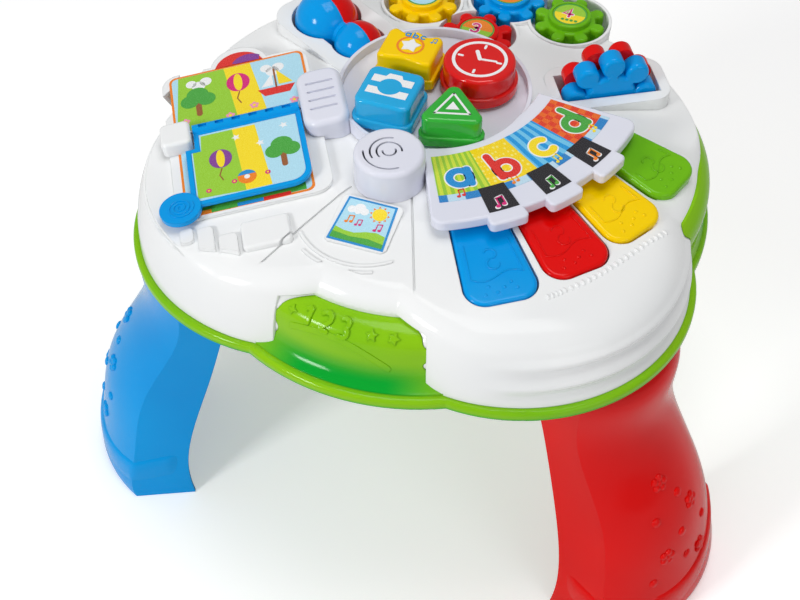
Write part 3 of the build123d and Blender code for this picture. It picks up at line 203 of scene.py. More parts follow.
# %% [markdown]
# The photograph looks down steeply from the front right with a long lens. The camera is placed
# by its distance and two angles, with a very small shift for the framing and no depth of field.

# %% The photograph's camera
LOOK_AT = Vector((14.3, -105.9 + AXIS_Y, 272.0)) * MM
CAMERA_AZIMUTH, CAMERA_ELEVATION, CAMERA_ROLL = 19.93, 48.09, -0.26
CAMERA_DISTANCE, CAMERA_LENS = 1.1158, 65.72

azimuth, elevation = radians(CAMERA_AZIMUTH), radians(CAMERA_ELEVATION)
away = Vector((sin(azimuth) * cos(elevation), -cos(azimuth) * cos(elevation), sin(elevation)))
camera_data = bpy.data.cameras.new("camera")
camera_data.lens, camera_data.sensor_width = CAMERA_LENS, 36.0
camera_data.shift_x, camera_data.shift_y = -0.0037, -0.0025
camera_data.clip_start, camera_data.clip_end = 0.05, 30.0
camera = new_object("camera", camera_data)
camera.location = LOOK_AT + away * CAMERA_DISTANCE
camera.rotation_mode = "QUATERNION"
level_look = (-away).to_track_quat("-Z", "Y")
camera.rotation_quaternion = level_look @ Quaternion((0, 0, 1), radians(CAMERA_ROLL))
scene.camera = camera
print("camera at", [round(v, 3) for v in camera.location])

# %% [markdown]
# A white toy on white paper needs soft light with one clear direction: a broad lamp overhead,
# the key lamp at the front left, which throws the legs' shadows back to the right, and a weak
# one at the right. The paper is a large plane whose colour and a faint glow make it white. Light
# Path lets the world be plain white behind everything while it lights the toy less.

# %% Paper, lamps and world
PAPER_REACH, PAPER_GLOW, PAPER_COLOUR = 4.0, 0.34, (0.93, 0.93, 0.935, 1)
WORLD_LEVEL, GLOSSY_SHARE = 0.34, 0.04
WHITE = (1, 1, 1, 1)
LAMPS = {
    "overhead_lamp": ((0.1, 0.1, 2.3), (0, 0, 0.3), (1.2, 1.0), 15),
    "key_lamp": ((-1.25, -2.1, 1.5), (0, 0, 0.25), (0.6, 0.6), 29),
    "fill_lamp": ((1.7, -1.2, 1.1), (0, 0, 0.2), (1.0, 1.0), 5),
}

scene.view_settings.view_transform = "Standard"
corners = [(x * PAPER_REACH, y * PAPER_REACH, 0) for x, y in ((-1, -1), (1, -1), (1, 1), (-1, 1))]
paper_mesh = bpy.data.meshes.new("paper")
paper_mesh.from_pydata(corners, [], [(0, 1, 2, 3)])
paper = new_object("paper", paper_mesh)
paper_stuff, tree, shader = new_stuff("studio_paper")
light_path = tree.nodes.new("ShaderNodeLightPath").outputs
glow = math_node(tree, "MULTIPLY", light_path["Is Camera Ray"], PAPER_GLOW)
feed(tree, shader, {"Base Color": PAPER_COLOUR, "Roughness": 0.75, "Specular IOR Level": 0.2,
                    "Emission Color": WHITE, "Emission Strength": glow})
paper_mesh.materials.append(paper_stuff)

for name, (spot, target, size, watts) in LAMPS.items():
    lamp_data = bpy.data.lights.new(name, "AREA")
    lamp_data.shape, lamp_data.size, lamp_data.size_y = "RECTANGLE", *size
    lamp_data.energy = watts
    lamp = new_object(name, lamp_data)
    lamp.location = spot
    lamp.rotation_mode = "QUATERNION"
    lamp.rotation_quaternion = (Vector(target) - Vector(spot)).to_track_quat("-Z", "Y")

world = bpy.data.worlds.new("studio_world")
scene.world = world
world.use_nodes = True
tree = world.node_tree
light_path = tree.nodes.new("ShaderNodeLightPath").outputs
seen = math_node(tree, "MAXIMUM", light_path["Is Camera Ray"], light_path["Is Transmission Ray"])
dimmed = math_node(tree, "MULTIPLY", light_path["Is Glossy Ray"], GLOSSY_SHARE)
level = map_range(tree, math_node(tree, "MAXIMUM", seen, dimmed), 0.0, 1.0, WORLD_LEVEL, 1.0)
feed(tree, tree.nodes["Background"], {"Color": WHITE, "Strength": level})


# %% [markdown]
# Injection moulded plastic is not one flat colour. The steel mould leaves a very fine orange
# peel, the gloss changes a little from place to place where the skin cooled unevenly, and the
# colour deepens where the wall is thick. No moulded edge is knife sharp either, so a Bevel node
# rounds the shading there. One node group makes all four, and each plastic has its own values.

# %% Node group for moulded plastic
def build_moulded_skin():
    tree, given, result = new_group(
        "moulded_skin", "ShaderNodeTree",
        {"Face Color": ("Color", (0.8, 0.8, 0.8, 1)), "Deep Color": ("Color", (0.6, 0.6, 0.6, 1)),
         "Drift Scale": ("Float", 9.0), "Peel Scale": ("Float", 420.0), "Peel Depth": ("Float", 0.05),
         "Gloss Low": ("Float", 0.16), "Gloss High": ("Float", 0.26), "Edge Radius": ("Float", 0.0009)},
        {"Color": ("Color",), "Roughness": ("Float",), "Normal": ("Vector",)})
    where = object_place(tree)

    def noise(scale, detail):
        inputs = {"Vector": where, "Scale": scale, "Detail": detail}
        return add_node(tree, "ShaderNodeTexNoise", inputs).outputs["Fac"]

    drift = map_range(tree, noise(given["Drift Scale"], 2.0), 0.35, 0.75)
    sheen = map_range(tree, noise(38.0, 4.0), 0.3, 0.7, given["Gloss Low"], given["Gloss High"])
    edge = add_node(tree, "ShaderNodeBevel", {"Radius": given["Edge Radius"]}, samples=4)
    peel = {"Height": noise(given["Peel Scale"], 3.0), "Strength": given["Peel Depth"]}
    bump = add_node(tree, "ShaderNodeBump", {**peel, "Distance": 0.0004, "Normal": edge.outputs["Normal"]})
    colour = mix_colours(tree, drift, given["Face Color"], given["Deep Color"])
    feed(tree, result, {"Color": colour, "Roughness": sheen, "Normal": bump.outputs["Normal"]})
    return tree


moulded_skin = build_moulded_skin()
print("group", moulded_skin.name, "with", len(moulded_skin.nodes), "nodes")


# %% [markdown]
# A colour is written as it shows on a screen and changed to the linear colour that a shader
# takes. The Principled shader stays in each material, where its fixed values can be exported,
# and only colour, roughness and normal come from the group.

# %% Moulded plastics
def linear(colour):
    """Display colour from 0 to 255 as the linear colour that a shader takes."""
    def one(value):
        value /= 255.0
        return value / 12.92 if value <= 0.04045 else ((value + 0.055) / 1.055) ** 2.4
    return (*map(one, colour), 1.0)


def moulded_plastic(name, face, deep, gloss=(0.08, 0.15), peel=0.04, coat=0.0, clear=0.0, edge=0.0009):
    stuff, tree, shader = new_stuff(name)
    skin = add_node(tree, "ShaderNodeGroup", {}, node_tree=moulded_skin)
    feed(tree, skin, {"Face Color": linear(face), "Deep Color": linear(deep), "Gloss Low": gloss[0],
                      "Gloss High": gloss[1], "Peel Depth": peel, "Edge Radius": edge})
    feed(tree, shader, {"Base Color": skin.outputs["Color"], "Roughness": skin.outputs["Roughness"],
                        "Normal": skin.outputs["Normal"], "IOR": 1.49, "Specular IOR Level": 0.2,
                        "Coat Weight": coat, "Coat Roughness": 0.08, "Transmission Weight": clear})
    return stuff


PLASTIC_LOOKS = {
    "white_plastic": ((245, 246, 246), (240, 242, 243)),
    "lavender_plastic": ((232, 233, 243), (224, 226, 240)),
    "lime_plastic": ((142, 200, 18), (120, 192, 22)),
    "blue_plastic": ((0, 160, 236), (0, 150, 228)),
    "red_plastic": ((232, 10, 8), (218, 6, 6)),
    "yellow_plastic": ((255, 214, 0), (252, 204, 0)),
    "green_plastic": ((118, 192, 20), (96, 180, 18)),
    "clear_red": ((246, 20, 18), (236, 14, 12), (0.05, 0.09), 0.02, 0.45, 0.18),
    "clear_blue": ((44, 196, 250), (16, 180, 242), (0.05, 0.09), 0.02, 0.45, 0.18),
    "clear_green": ((70, 214, 70), (40, 192, 54), (0.05, 0.09), 0.02, 0.45, 0.3),
    "lamp_lens": ((240, 240, 236), (228, 228, 224), (0.08, 0.14), 0.02, 0.3, 0.6),
    "black_plastic": ((34, 34, 36), (28, 28, 30), (0.38, 0.5), 0.2),
    "board_laminate": ((30, 104, 62), (24, 90, 54), (0.3, 0.42), 0.1, 0.1),
    "rubber_pads": ((150, 152, 156), (138, 140, 146), (0.5, 0.62), 0.1),
    "cell_jacket": ((60, 62, 70), (48, 50, 58), (0.22, 0.3), 0.03, 0.2),
}
PLASTICS = {name: moulded_plastic(name, *look) for name, look in PLASTIC_LOOKS.items()}
WHITE_SHELL = moulded_plastic("white_shell", *PLASTIC_LOOKS["white_plastic"], edge=0.0012)
print("plastics", len(PLASTICS))


# %% [markdown]
# Screws, pins and spring contacts are zinc plated steel. Plating has a faint grain along the
# wire and duller patches, so the metal's roughness and bump come from a stretched noise.

# %% Plated steel
def plated_steel():
    stuff, tree, shader = new_stuff("steel")
    stretch = add_node(tree, "ShaderNodeMapping", {"Vector": object_place(tree), "Scale": (900, 900, 120)})
    inputs = {"Vector": stretch.outputs["Vector"], "Detail": 4.0}
    grain = add_node(tree, "ShaderNodeTexNoise", inputs).outputs["Fac"]
    bump = add_node(tree, "ShaderNodeBump", {"Strength": 0.1, "Distance": 0.0002, "Height": grain})
    feed(tree, shader, {"Metallic": 1.0, "Base Color": linear((196, 198, 202)),
                        "Roughness": map_range(tree, grain, 0.0, 1.0, 0.22, 0.42),
                        "Normal": bump.outputs["Normal"]})
    return stuff


PLASTICS["steel"] = plated_steel()
print("steel ready")


# %% [markdown]
# The lime moulding is moulded in one colour. The hollow in each skirt and the lower half of the lip
# face downward and lie in shade, so a painted shade, a deeper green, is mixed into the colour there.
# The material finds those places by height and by the angle about the table's axis, folded three
# times, so that all three skirts get the same painted shade.

# %% Painted shade on the lime shell
# Painted shade: the deeper green that darkens the skirts' hollows and the lip's lower half.
SHADED_LIME, LIP_SHADE_SHARE = (0, 168, 48), 0.75
HOLLOW_TURNS, HOLLOW_FLOOR, HOLLOW_ROOF = (27.0, 9.0), (0.2715, 0.2735), (0.296, 0.277)
LIP_EDGE = (0.2675, 0.2645)


def soft_step(tree, value, start, end):
    """0 before the first limit and 1 after the second, or the other way round if they fall."""
    low, high = (0, 1) if start < end else (1, 0)
    return map_range(tree, value, min(start, end), max(start, end), low, high, "SMOOTHSTEP")


def shade_lime_shell(stuff):
    tree = stuff.node_tree
    skin = next(node for node in tree.nodes if node.type == "GROUP")
    split = add_node(tree, "ShaderNodeSeparateXYZ", {"Vector": object_place(tree)}).outputs
    from_axis = math_node(tree, "SUBTRACT", split["Y"], AXIS_Y * MM)
    turn = math_node(tree, "ARCTAN2", from_axis, split["X"])
    degree = math_node(tree, "MULTIPLY_ADD", turn, 180 / pi, 90.0)
    folded = math_node(tree, "ABSOLUTE", math_node(tree, "WRAP", degree, 60.0, -60.0))
    inside = soft_step(tree, folded, *HOLLOW_TURNS)
    above = soft_step(tree, split["Z"], *HOLLOW_FLOOR)
    below = soft_step(tree, split["Z"], *HOLLOW_ROOF)
    # The hollow and the lower lip get painted shade, mixed into both colours of the skin.
    hollow = math_node(tree, "MULTIPLY", math_node(tree, "MULTIPLY", above, below), inside)
    under = math_node(tree, "MULTIPLY", soft_step(tree, split["Z"], *LIP_EDGE), LIP_SHADE_SHARE)
    shade_mask = math_node(tree, "MAXIMUM", hollow, under)
    for name in ("Face Color", "Deep Color"):
        feed(tree, skin, {name: mix_colours(tree, shade_mask, skin.inputs[name].default_value, linear(SHADED_LIME))})


shade_lime_shell(PLASTICS["lime_plastic"])
print("lime shell shaded with", len(PLASTICS["lime_plastic"].node_tree.nodes), "nodes")

# %% [markdown]
# Each solid takes the finish that the record names for it. Only prints are left out here,
# because every print is rebuilt below from its own drawn shapes.

# %% Finishes for the solids
dressed = 0
for part in frame["record"]["subparts"]:
    stuff = PLASTICS.get(part["material_slot"])
    if part["node"] == "top_shell":
        stuff = WHITE_SHELL
    if stuff:
        materials = frame["nodes"][part["node"]].data.materials
        materials.clear()
        materials.append(stuff)
        dressed += 1
print("solids dressed", dressed)


# %% [markdown]
# The prints are thin film. Printing ink shows tiny dots and soft mottling under a clear layer,
# so every ink is one small group of fine cells that shifts the colour a little.

# %% Printing inks
def build_ink_grain():
    tree, given, result = new_group(
        "ink_grain", "ShaderNodeTree",
        {"Ink": ("Color", (0.5, 0.5, 0.5, 1)), "Thin Ink": ("Color", (0.6, 0.6, 0.6, 1)),
         "Dot Scale": ("Float", 1500.0)},
        {"Color": ("Color",), "Roughness": ("Float",)})
    inputs = {"Vector": object_place(tree), "Scale": given["Dot Scale"]}
    dots = add_node(tree, "ShaderNodeTexVoronoi", inputs).outputs["Distance"]
    soft = map_range(tree, dots, 0.0, 0.7, 0.0, 0.5)
    feed(tree, result, {"Color": mix_colours(tree, soft, given["Ink"], given["Thin Ink"]),
                        "Roughness": map_range(tree, dots, 0.0, 1.0, 0.2, 0.34)})
    return tree


ink_grain = build_ink_grain()


def grained_ink(tree, colour, thinning):
    """Outputs of the ink group in one colour, thinned by a number of display steps."""
    grain = add_node(tree, "ShaderNodeGroup", {}, node_tree=ink_grain)
    thin = [min(255, value + thinning) for value in colour]
    return feed(tree, grain, {"Ink": linear(colour), "Thin Ink": linear(thin)}).outputs


def ink(name, colour):
    stuff, tree, shader = new_stuff("ink_" + name)
    grain = grained_ink(tree, colour, 14)
    feed(tree, shader, {"Base Color": grain["Color"], "Roughness": grain["Roughness"], "Coat Weight": 0.2})
    return stuff


INK_COLOURS = {
    "white": (240, 241, 242), "sky": (176, 222, 240), "blue": (28, 140, 210), "navy": (20, 70, 150),
    "lime": (150, 205, 50), "green": (70, 165, 60), "yellow": (252, 220, 30), "orange": (240, 130, 25),
    "red": (222, 44, 36), "magenta": (214, 36, 120), "pink": (240, 150, 180), "purple": (130, 60, 150),
    "black": (30, 28, 34), "brown": (150, 88, 44),
}
INKS = {name: ink(name, colour) for name, colour in INK_COLOURS.items()}
print("inks", len(INKS))


# %% [markdown]
# Prints are drawn as a paper cutter would: flat outlines and strokes with round ends, laid on
# each other. A stroke is a band of even width along a few points. Both give closed thin solids,
# so they stay sound.

# %% Cut shapes and strokes
def polar(reach, turn, x=0.0, y=0.0):
    """Point at a reach and an angle in degrees from a centre."""
    return (x + reach * cos(radians(turn)), y + reach * sin(radians(turn)))


def skin_rows(form, rows, tone=0, joined=False):
    """Closed solid over rows of corners, from the first to the last or joined round to the first."""
    faces = [] if joined else [form.faces.new(rows[0][::-1]), form.faces.new(rows[-1])]
    for first, second in zip(rows, rows[1:] + (rows[:1] if joined else [])):
        for k in range(len(first)):
            m = (k + 1) % len(first)
            faces.append(form.faces.new((first[k], first[m], second[m], second[k])))
    for face in faces:
        face.material_index = tone
    return faces


def cut_shape(form, where, outline, low, high, tone=0):
    """Closed flat shape from an anticlockwise outline, between two heights in millimetres."""
    rows = [[form.verts.new(where @ Vector((u, v, height))) for u, v in outline] for height in (low, high)]
    skin_rows(form, rows, tone)


def arc(x, y, radius, start=0.0, end=360.0, steps=28, flatten=1.0):
    """Points along an arc, without the last one of a full turn."""
    full = abs(end - start) >= 359.9
    turns = [radians(start + (end - start) * i / steps) for i in range(steps if full else steps + 1)]
    return [(x + radius * cos(turn), y + radius * flatten * sin(turn)) for turn in turns]


def star_outline(points, outer, inner, turn=90.0, x=0.0, y=0.0):
    return [polar(inner if i % 2 else outer, turn + 180 * i / points, x, y) for i in range(2 * points)]


def side_spots(path, i, half):
    """The two points beside one point of a path, at half the width across its run."""
    before, after = path[max(0, i - 1)], path[min(len(path) - 1, i + 1)]
    run = Vector((after[0] - before[0], after[1] - before[1])).normalized()
    across = Vector((-run.y, run.x)) * half
    u, v = path[i]
    return (u - across.x, v - across.y), (u + across.x, v + across.y)


def stroke(path, width):
    """Outline of a band along open points, with round ends."""
    right, left = zip(*(side_spots(path, i, width / 2) for i in range(len(path))))
    ends = []
    for centre, inner in ((path[-1], path[-2]), (path[0], path[1])):
        aim = degrees(atan2(centre[1] - inner[1], centre[0] - inner[0]))
        ends.append(arc(*centre, width / 2, aim - 75, aim + 75, 6))
    return [*right, *ends[0], *left[::-1], *ends[1]]


def band(form, where, path, width, low, high):
    """Closed strip of even width along open points, made of small faces that can bend."""
    rows = []
    for i in range(len(path)):
        narrow = 0.55 if i in (0, len(path) - 1) else 1.0
        right, left = side_spots(path, i, width / 2 * narrow)
        corners = [(*right, low), (*left, low), (*left, high), (*right, high)]
        rows.append([form.verts.new(where @ Vector(corner)) for corner in corners])
    skin_rows(form, rows)


def fine_path(path, step=1.5):
    """The same path with more points, so that a long run can follow a curved moulding."""
    fine = [path[0]]
    for (u0, v0), (u1, v1) in zip(path, path[1:]):
        parts = max(1, round(Vector((u1 - u0, v1 - v0)).length / step))
        fine += [(u0 + (u1 - u0) * k / parts, v0 + (v1 - v0) * k / parts) for k in range(1, parts + 1)]
    return fine


def ring(form, where, x, y, inner, outer, low, high, tone=0, steps=36):
    """Flat ring as a closed solid."""
    section = ((inner, low), (outer, low), (outer, high), (inner, high))
    turns = [360 * i / steps for i in range(steps)]
    rows = [[form.verts.new(where @ Vector((*polar(reach, turn, x, y), height))) for reach, height in section]
            for turn in turns]
    skin_rows(form, rows, tone, joined=True)


def ride_on(piece, body, replaces=()):
    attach(piece, body)
    if replaces:
        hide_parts(*replaces)
    return piece


def new_piece(name, form, body, stuffs, replaces=(), round_edges=0.0):
    """Object from drawn shapes, riding on its body."""
    mesh = bpy.data.meshes.new(name)
    bmesh.ops.recalc_face_normals(form, faces=form.faces)
    form.to_mesh(mesh)
    form.free()
    for stuff in stuffs:
        mesh.materials.append(stuff)
    piece = new_object(name, mesh)
    if round_edges:
        bevel = piece.modifiers.new("soft_edge", "BEVEL")
        bevel.width, bevel.segments, bevel.limit_method = round_edges * MM, 2, "ANGLE"
        bevel.harden_normals = False
    return ride_on(piece, body, replaces)


def print_piece(name, form, body, inks, replaces=(), round_edges=0.0):
    return new_piece(name, form, body, [INKS[each] for each in inks], replaces, round_edges)


def plastic_piece(name, form, body, plastic, round_edges=0.0):
    return new_piece(name, form, body, [PLASTICS[plastic]], (), round_edges)


print("drawing tools ready")


# %% [markdown]
# Many marks are raised parts of a curved moulding. They are drawn flat and then dropped onto the
# moulding: a ray goes down from each point, and the point keeps its own height above the place
# where the ray lands. The same rays give the spots and the facing directions for marks that
# Geometry Nodes place.

# %% Settling marks on a moulding
SEARCH = 30.0


def node_surface(name):
    return surface_of(frame["nodes"][name].data)


def outward(where):
    """Direction in which a place faces."""
    return (where.to_3x3() @ Vector((0, 0, 1))).normalized()


def settle(form, where, surface, first=0):
    """Drop the points of a form onto a moulding, from the given number on."""
    back, aim, settled = where.inverted(), -outward(where), 0
    for vert in list(form.verts)[first:]:
        spot = back @ vert.co
        start = where @ Vector((spot.x, spot.y, SEARCH))
        hit = surface.ray_cast(start, aim)[0]
        if hit is not None and (hit - start).length < 2 * SEARCH * MM:
            vert.co = hit - aim * (spot.z * MM)
            settled += 1
    return settled


def landing(surface, start, aim):
    """Where a ray lands on a moulding, and the direction that the moulding faces there."""
    hit, facing, _, _ = surface.ray_cast(start, aim)
    return hit, -facing if hit is not None and facing.dot(aim) > 0 else facing


def table_directions(angle):
    """Directions away from the table's axis and to its side, at one angle round the table."""
    away = Vector((*polar(1.0, angle), 0))
    return away, Vector((-away.y, away.x, 0))


SKIRT_SURFACE = node_surface("base_shell")
print("surfaces ready")

# %% [markdown]
# The white shell turns over its front edge in a wide soft shoulder and runs down a wall with soft
# folds, which die out beside the lime skirts. A bevel can't run round such a long edge of many
# small faces, so one section of the wanted surface is worked out for every direction round the
# table: the folded wall of the lobes, the panels between them and the turn of the shoulder.

# %% Section of the white shell's shoulder and wall
LOBE_OFFSET, WALL_RADIUS, WALL_TOP, WALL_LEAN, LEAN_BEND = 99.0, 135.6, 56.0, 11.2, 2.24
FLANK_MORE, FLANK_START, FLANK_FADE = 0.8, 24.0, 12.0
FOLD_DEPTH, FOLD_PITCH, FOLD_ROUND = 4.4, 19.0, 0.8
FOLD_CENTRE, FOLD_HALF, FOLD_FADE = 333.0, 20.0, 16.0
LOBES = (BOOK_LOBE, PIANO_LOBE, GEAR_LOBE)
FRONT_WALL = [(-2.0, 170.7), (2.0, 170.7), (12.0, 160.7), (27.0, 158.7),
              (46.9, 136.7), (47.1, 137.0), (70.0, 137.0)]
SIDE_WALL = [(-2.0, 172.7), (2.0, 172.7), (12.0, 169.7), (27.0, 171.7),
             (49.9, 163.7), (50.1, 164.0), (70.0, 164.0)]
PANELS = {270.0: (31.0, FRONT_WALL), 30.0: (49.0, SIDE_WALL), 150.0: (49.0, SIDE_WALL)}
SHOULDER_START, SHOULDER_END, SHOULDER_FADE = 227.0, 386.0, 12.0
SHOULDER_WIDE, SHOULDER_DEEP, SHOULDER_TURN, SHOULDER_LEAST = 19.0, 12.0, 72.0, 0.05
SHOULDER_MORE, MORE_START, MORE_FADE = 6.0, 292.0, 20.0
LINER_THICK, LINER_OVER, LINER_SINK, LINER_SPAN = 3.4, 0.25, 0.3, 42.0
CUTTER_START, CUTTER_END, CUTTER_OUT, CUTTER_UP, CUTTER_BELOW = 166.5, 387.0, 8.0, 20.0, 0.6
RINGS_PER_DEGREE = 2
DECK_SHARP, WALL_SHARP, WALL_ZONE, FACE_WEIGHT = 7.0, 28.0, 27.0, 85


def eased(part):
    """Part from 0 to 1 with a soft start and end."""
    part = min(1.0, max(0.0, part))
    return part * part * (3 - 2 * part)


def between(table, value):
    """Value of a table of pairs, with straight lines between them."""
    for (low, first), (high, second) in zip(table, table[1:]):
        if value <= high:
            return first + (second - first) * (value - low) / (high - low)
    return table[-1][1]


def round_reach(turn, angle, offset, radius):
    """Reach of one round wall from the table's axis in one direction."""
    aside = radians(turn - angle)
    inside = radius ** 2 - (offset * sin(aside)) ** 2
    return offset * cos(aside) + inside ** 0.5 if inside > 0 else 0.0


def lobe_reach(turn, rise, angle):
    """Wall of one lobe. The folds of the piano lobe die out towards the skirts on both sides."""
    radius = WALL_RADIUS - WALL_LEAN * (max(0.0, rise) / WALL_TOP) ** LEAN_BEND
    radius += FLANK_MORE * eased((abs(turn - angle) - FLANK_START) / FLANK_FADE)
    if angle == PIANO_LOBE:
        depth = FOLD_DEPTH * (1 - eased((abs(turn - FOLD_CENTRE) - FOLD_HALF) / FOLD_FADE))
        radius -= depth * (0.5 - 0.5 * cos(2 * pi * rise / FOLD_PITCH)) ** FOLD_ROUND
    return round_reach(turn, angle, LOBE_OFFSET, radius)


def wall_reach(turn, rise):
    """Outermost wall in one direction, lobes and panels together."""
    reaches = [lobe_reach(turn, rise, angle) for angle in LOBES]
    for angle, (offset, wall) in PANELS.items():
        reaches.append(round_reach(turn, angle, offset, between(wall, rise)))
    return max(reaches)


def swept_ring(section_at, start, end):
    """Closed mesh from one outline of reach and height for each direction round the table."""
    form, rows, steps = bmesh.new(), [], round(RINGS_PER_DEGREE * (end - start))
    for i in range(steps + 1):
        turn = start + (end - start) * i / steps
        aim = radians(turn)
        rows.append([form.verts.new(Vector((reach * cos(aim), reach * sin(aim) + AXIS_Y, height)) * MM)
                     for reach, height in section_at(turn)])
    skin_rows(form, rows)
    bmesh.ops.triangulate(form, faces=form.faces)
    bmesh.ops.recalc_face_normals(form, faces=form.faces)
    mesh = bpy.data.meshes.new("swept_ring")
    form.to_mesh(mesh)
    form.free()
    return new_object("swept_ring", mesh)


def shoulder_curve(turn, steps=11):
    """Soft turn from the deck down to the wall, ending along the wall's own lean."""
    fade = min((turn - SHOULDER_START) / SHOULDER_FADE, (SHOULDER_END - turn) / SHOULDER_FADE)
    grow = SHOULDER_LEAST + (1 - SHOULDER_LEAST) * eased(fade)
    wide = (SHOULDER_WIDE + SHOULDER_MORE * eased((turn - MORE_START) / MORE_FADE)) * grow
    edge = wall_reach(turn, WALL_TOP - 1.5)
    low = deck_at(edge) - SHOULDER_DEEP * grow
    inner, outer = edge - wide, wall_reach(turn, low - RIM_HEIGHT)
    curve, full = [], radians(SHOULDER_TURN)
    for i in range(steps + 1):
        part = full * i / steps
        reach = inner + (outer - inner) * sin(part) / sin(full)
        drop = (deck_at(outer) - low) * (1 - cos(part)) / (1 - cos(full))
        curve.append((reach, deck_at(reach) - drop))
    return curve


def cutter_section(turn, steps=40):
    """The wanted surface from the deck to the rim, closed by a box outside it."""
    curve = shoulder_curve(turn)
    inner, high = curve[0]
    span = curve[-1][1] - RIM_HEIGHT
    for i in range(1, steps + 1):
        rise = span - (span + CUTTER_BELOW) * i / steps
        curve.append((wall_reach(turn, rise), RIM_HEIGHT + rise))
    far = max(reach for reach, height in curve) + CUTTER_OUT
    low, top = curve[-1][1], high + CUTTER_UP
    return [(inner, high + 0.01), *curve[1:], (far, low), (far, top), (inner, top)]


def shoulder_liner(turn):
    """Strip along the shoulder, sunk at its inner end and standing out elsewhere."""
    curve = shoulder_curve(turn)
    lifts = [-LINER_SINK + (LINER_OVER + LINER_SINK) * min(1.0, i / 3) for i in range(len(curve))]
    over = [(reach + 0.6 * lift, height + lift) for (reach, height), lift in zip(curve, lifts)]
    under = [(reach - 0.5 - LINER_THICK * 0.8, height - LINER_THICK) for reach, height in curve]
    return over + under[::-1]


def wall_liner(angle):
    """Strip along the wall of one lobe, standing out by as much as the cutter shaves off."""
    def section(turn, steps=40):
        outer = []
        for i in range(steps + 1):
            rise = 0.3 + (WALL_TOP - 4.0) * i / steps
            outer.append((lobe_reach(turn, rise, angle) + LINER_OVER, RIM_HEIGHT + rise))
        return outer + [(reach - LINER_THICK, height) for reach, height in outer[::-1]]
    return section


print("reach of each lobe's wall", [round(wall_reach(angle, WALL_TOP), 1) for angle in LOBES])

# %% [markdown]
# Liners that stand a little proud of the section are joined to a copy of the shell, and a cutter
# then shaves everything back to it. The new mesh is shaded smooth but for the edges that really
# turn, which are judged more strictly on the deck than on the wall, and weighted normals keep
# the large faces calm beside the small ones.

# %% Shaving the shell to its section
shell_copy = frame["nodes"]["top_shell"].data.copy()
whole = bmesh.new()
whole.from_mesh(shell_copy)
bmesh.ops.remove_doubles(whole, verts=whole.verts, dist=0.00001)
whole.to_mesh(shell_copy)
whole.free()
holder = new_object("shell_holder", shell_copy)
rings = [("UNION", swept_ring(wall_liner(lobe), lobe - LINER_SPAN, lobe + LINER_SPAN))
         for lobe in (BOOK_LOBE, PIANO_LOBE)]
rings += [("UNION", swept_ring(shoulder_liner, SHOULDER_START, SHOULDER_END)),
          ("DIFFERENCE", swept_ring(cutter_section, CUTTER_START, CUTTER_END))]
for operation, tool in rings:
    step = holder.modifiers.new(operation, "BOOLEAN")
    step.operation, step.object, step.solver = operation, tool, "MANIFOLD"
shaved = finished_mesh(holder)
for operation, tool in rings:
    bpy.data.objects.remove(tool)
shading = bmesh.new()
shading.from_mesh(shaved)
for face in shading.faces:
    face.smooth = True
for edge in shading.edges:
    bend = degrees(edge.calc_face_angle(pi))
    if DECK_SHARP < bend < WALL_SHARP:
        middle = (edge.verts[0].co + edge.verts[1].co) / 2 / MM
        turn = degrees(atan2(middle.y - AXIS_Y, middle.x)) % 360
        edge.smooth = hypot(middle.x, middle.y - AXIS_Y) > wall_reach(turn, WALL_TOP) - WALL_ZONE
    else:
        edge.smooth = bend <= DECK_SHARP
shading.to_mesh(shaved)
shading.free()
holder = new_object("shaved_shell", shaved)
evening = holder.modifiers.new("even_normals", "WEIGHTED_NORMAL")
evening.keep_sharp, evening.weight = True, FACE_WEIGHT
shell_mesh = finished_mesh(holder)
shell_mesh.name = "soft_shell"
shell_mesh.materials.clear()
shell_mesh.materials.append(WHITE_SHELL)
ride_on(new_object("soft_shell", shell_mesh), "table", ["top_shell"])
SHELL_SURFACE = surface_of(shell_mesh)
print("soft shell faces", len(shell_mesh.polygons), "of", len(frame["nodes"]["top_shell"].data.polygons))


# %% [markdown]
# Ribs, bubbles and flowers repeat, so Geometry Nodes place them. One tree sets a rounded pip on
# every point, the other a flower of several pips. Both read two directions stored on the points:
# where the surface faces, and which way the row runs.

# %% Geometry Nodes trees for pips and flowers
def marks_tree(name, sizes):
    takes = {"Geometry": ("Geometry",), **sizes, "Material": ("Material",)}
    return new_group(name, "GeometryNodeTree", takes, {"Geometry": ("Geometry",)})


def stand_on_points(tree, given, result, shape, scale=None):
    """Instances of a shape on points, turned by the stored directions, made real."""
    turned = None
    for attribute, axis, pivot in (("facing", "Z", "AUTO"), ("along", "X", "Z")):
        inputs = {"Name": attribute}
        stored = add_node(tree, "GeometryNodeInputNamedAttribute", inputs, data_type="FLOAT_VECTOR")
        inputs = {"Vector": stored.outputs["Attribute"], "Rotation": turned}
        align = add_node(tree, "FunctionNodeAlignRotationToVector", inputs, axis=axis, pivot_axis=pivot)
        turned = align.outputs["Rotation"]
    inputs = {"Points": given["Geometry"], "Instance": shape, "Rotation": turned, "Scale": scale}
    stand = add_node(tree, "GeometryNodeInstanceOnPoints", inputs)
    real = add_node(tree, "GeometryNodeRealizeInstances", {"Geometry": stand.outputs["Instances"]})
    inputs = {"Geometry": real.outputs["Geometry"], "Material": given["Material"]}
    paint = add_node(tree, "GeometryNodeSetMaterial", inputs)
    feed(tree, result, {"Geometry": paint.outputs["Geometry"]})


def round_pip(tree):
    inputs = {"Segments": 16, "Rings": 10, "Radius": 1.0}
    return add_node(tree, "GeometryNodeMeshUVSphere", inputs).outputs["Mesh"]


def pip_scale(tree, given, names):
    """Three named lengths of the group as one scale."""
    inputs = {axis: given[name] for axis, name in zip("XYZ", names)}
    return add_node(tree, "ShaderNodeCombineXYZ", inputs).outputs["Vector"]


def build_pip_tree():
    sizes = {"Length": ("Float", 0.003), "Width": ("Float", 0.001), "Height": ("Float", 0.001)}
    tree, given, result = marks_tree("pips_on_points", sizes)
    stand_on_points(tree, given, result, round_pip(tree), pip_scale(tree, given, sizes))
    return tree


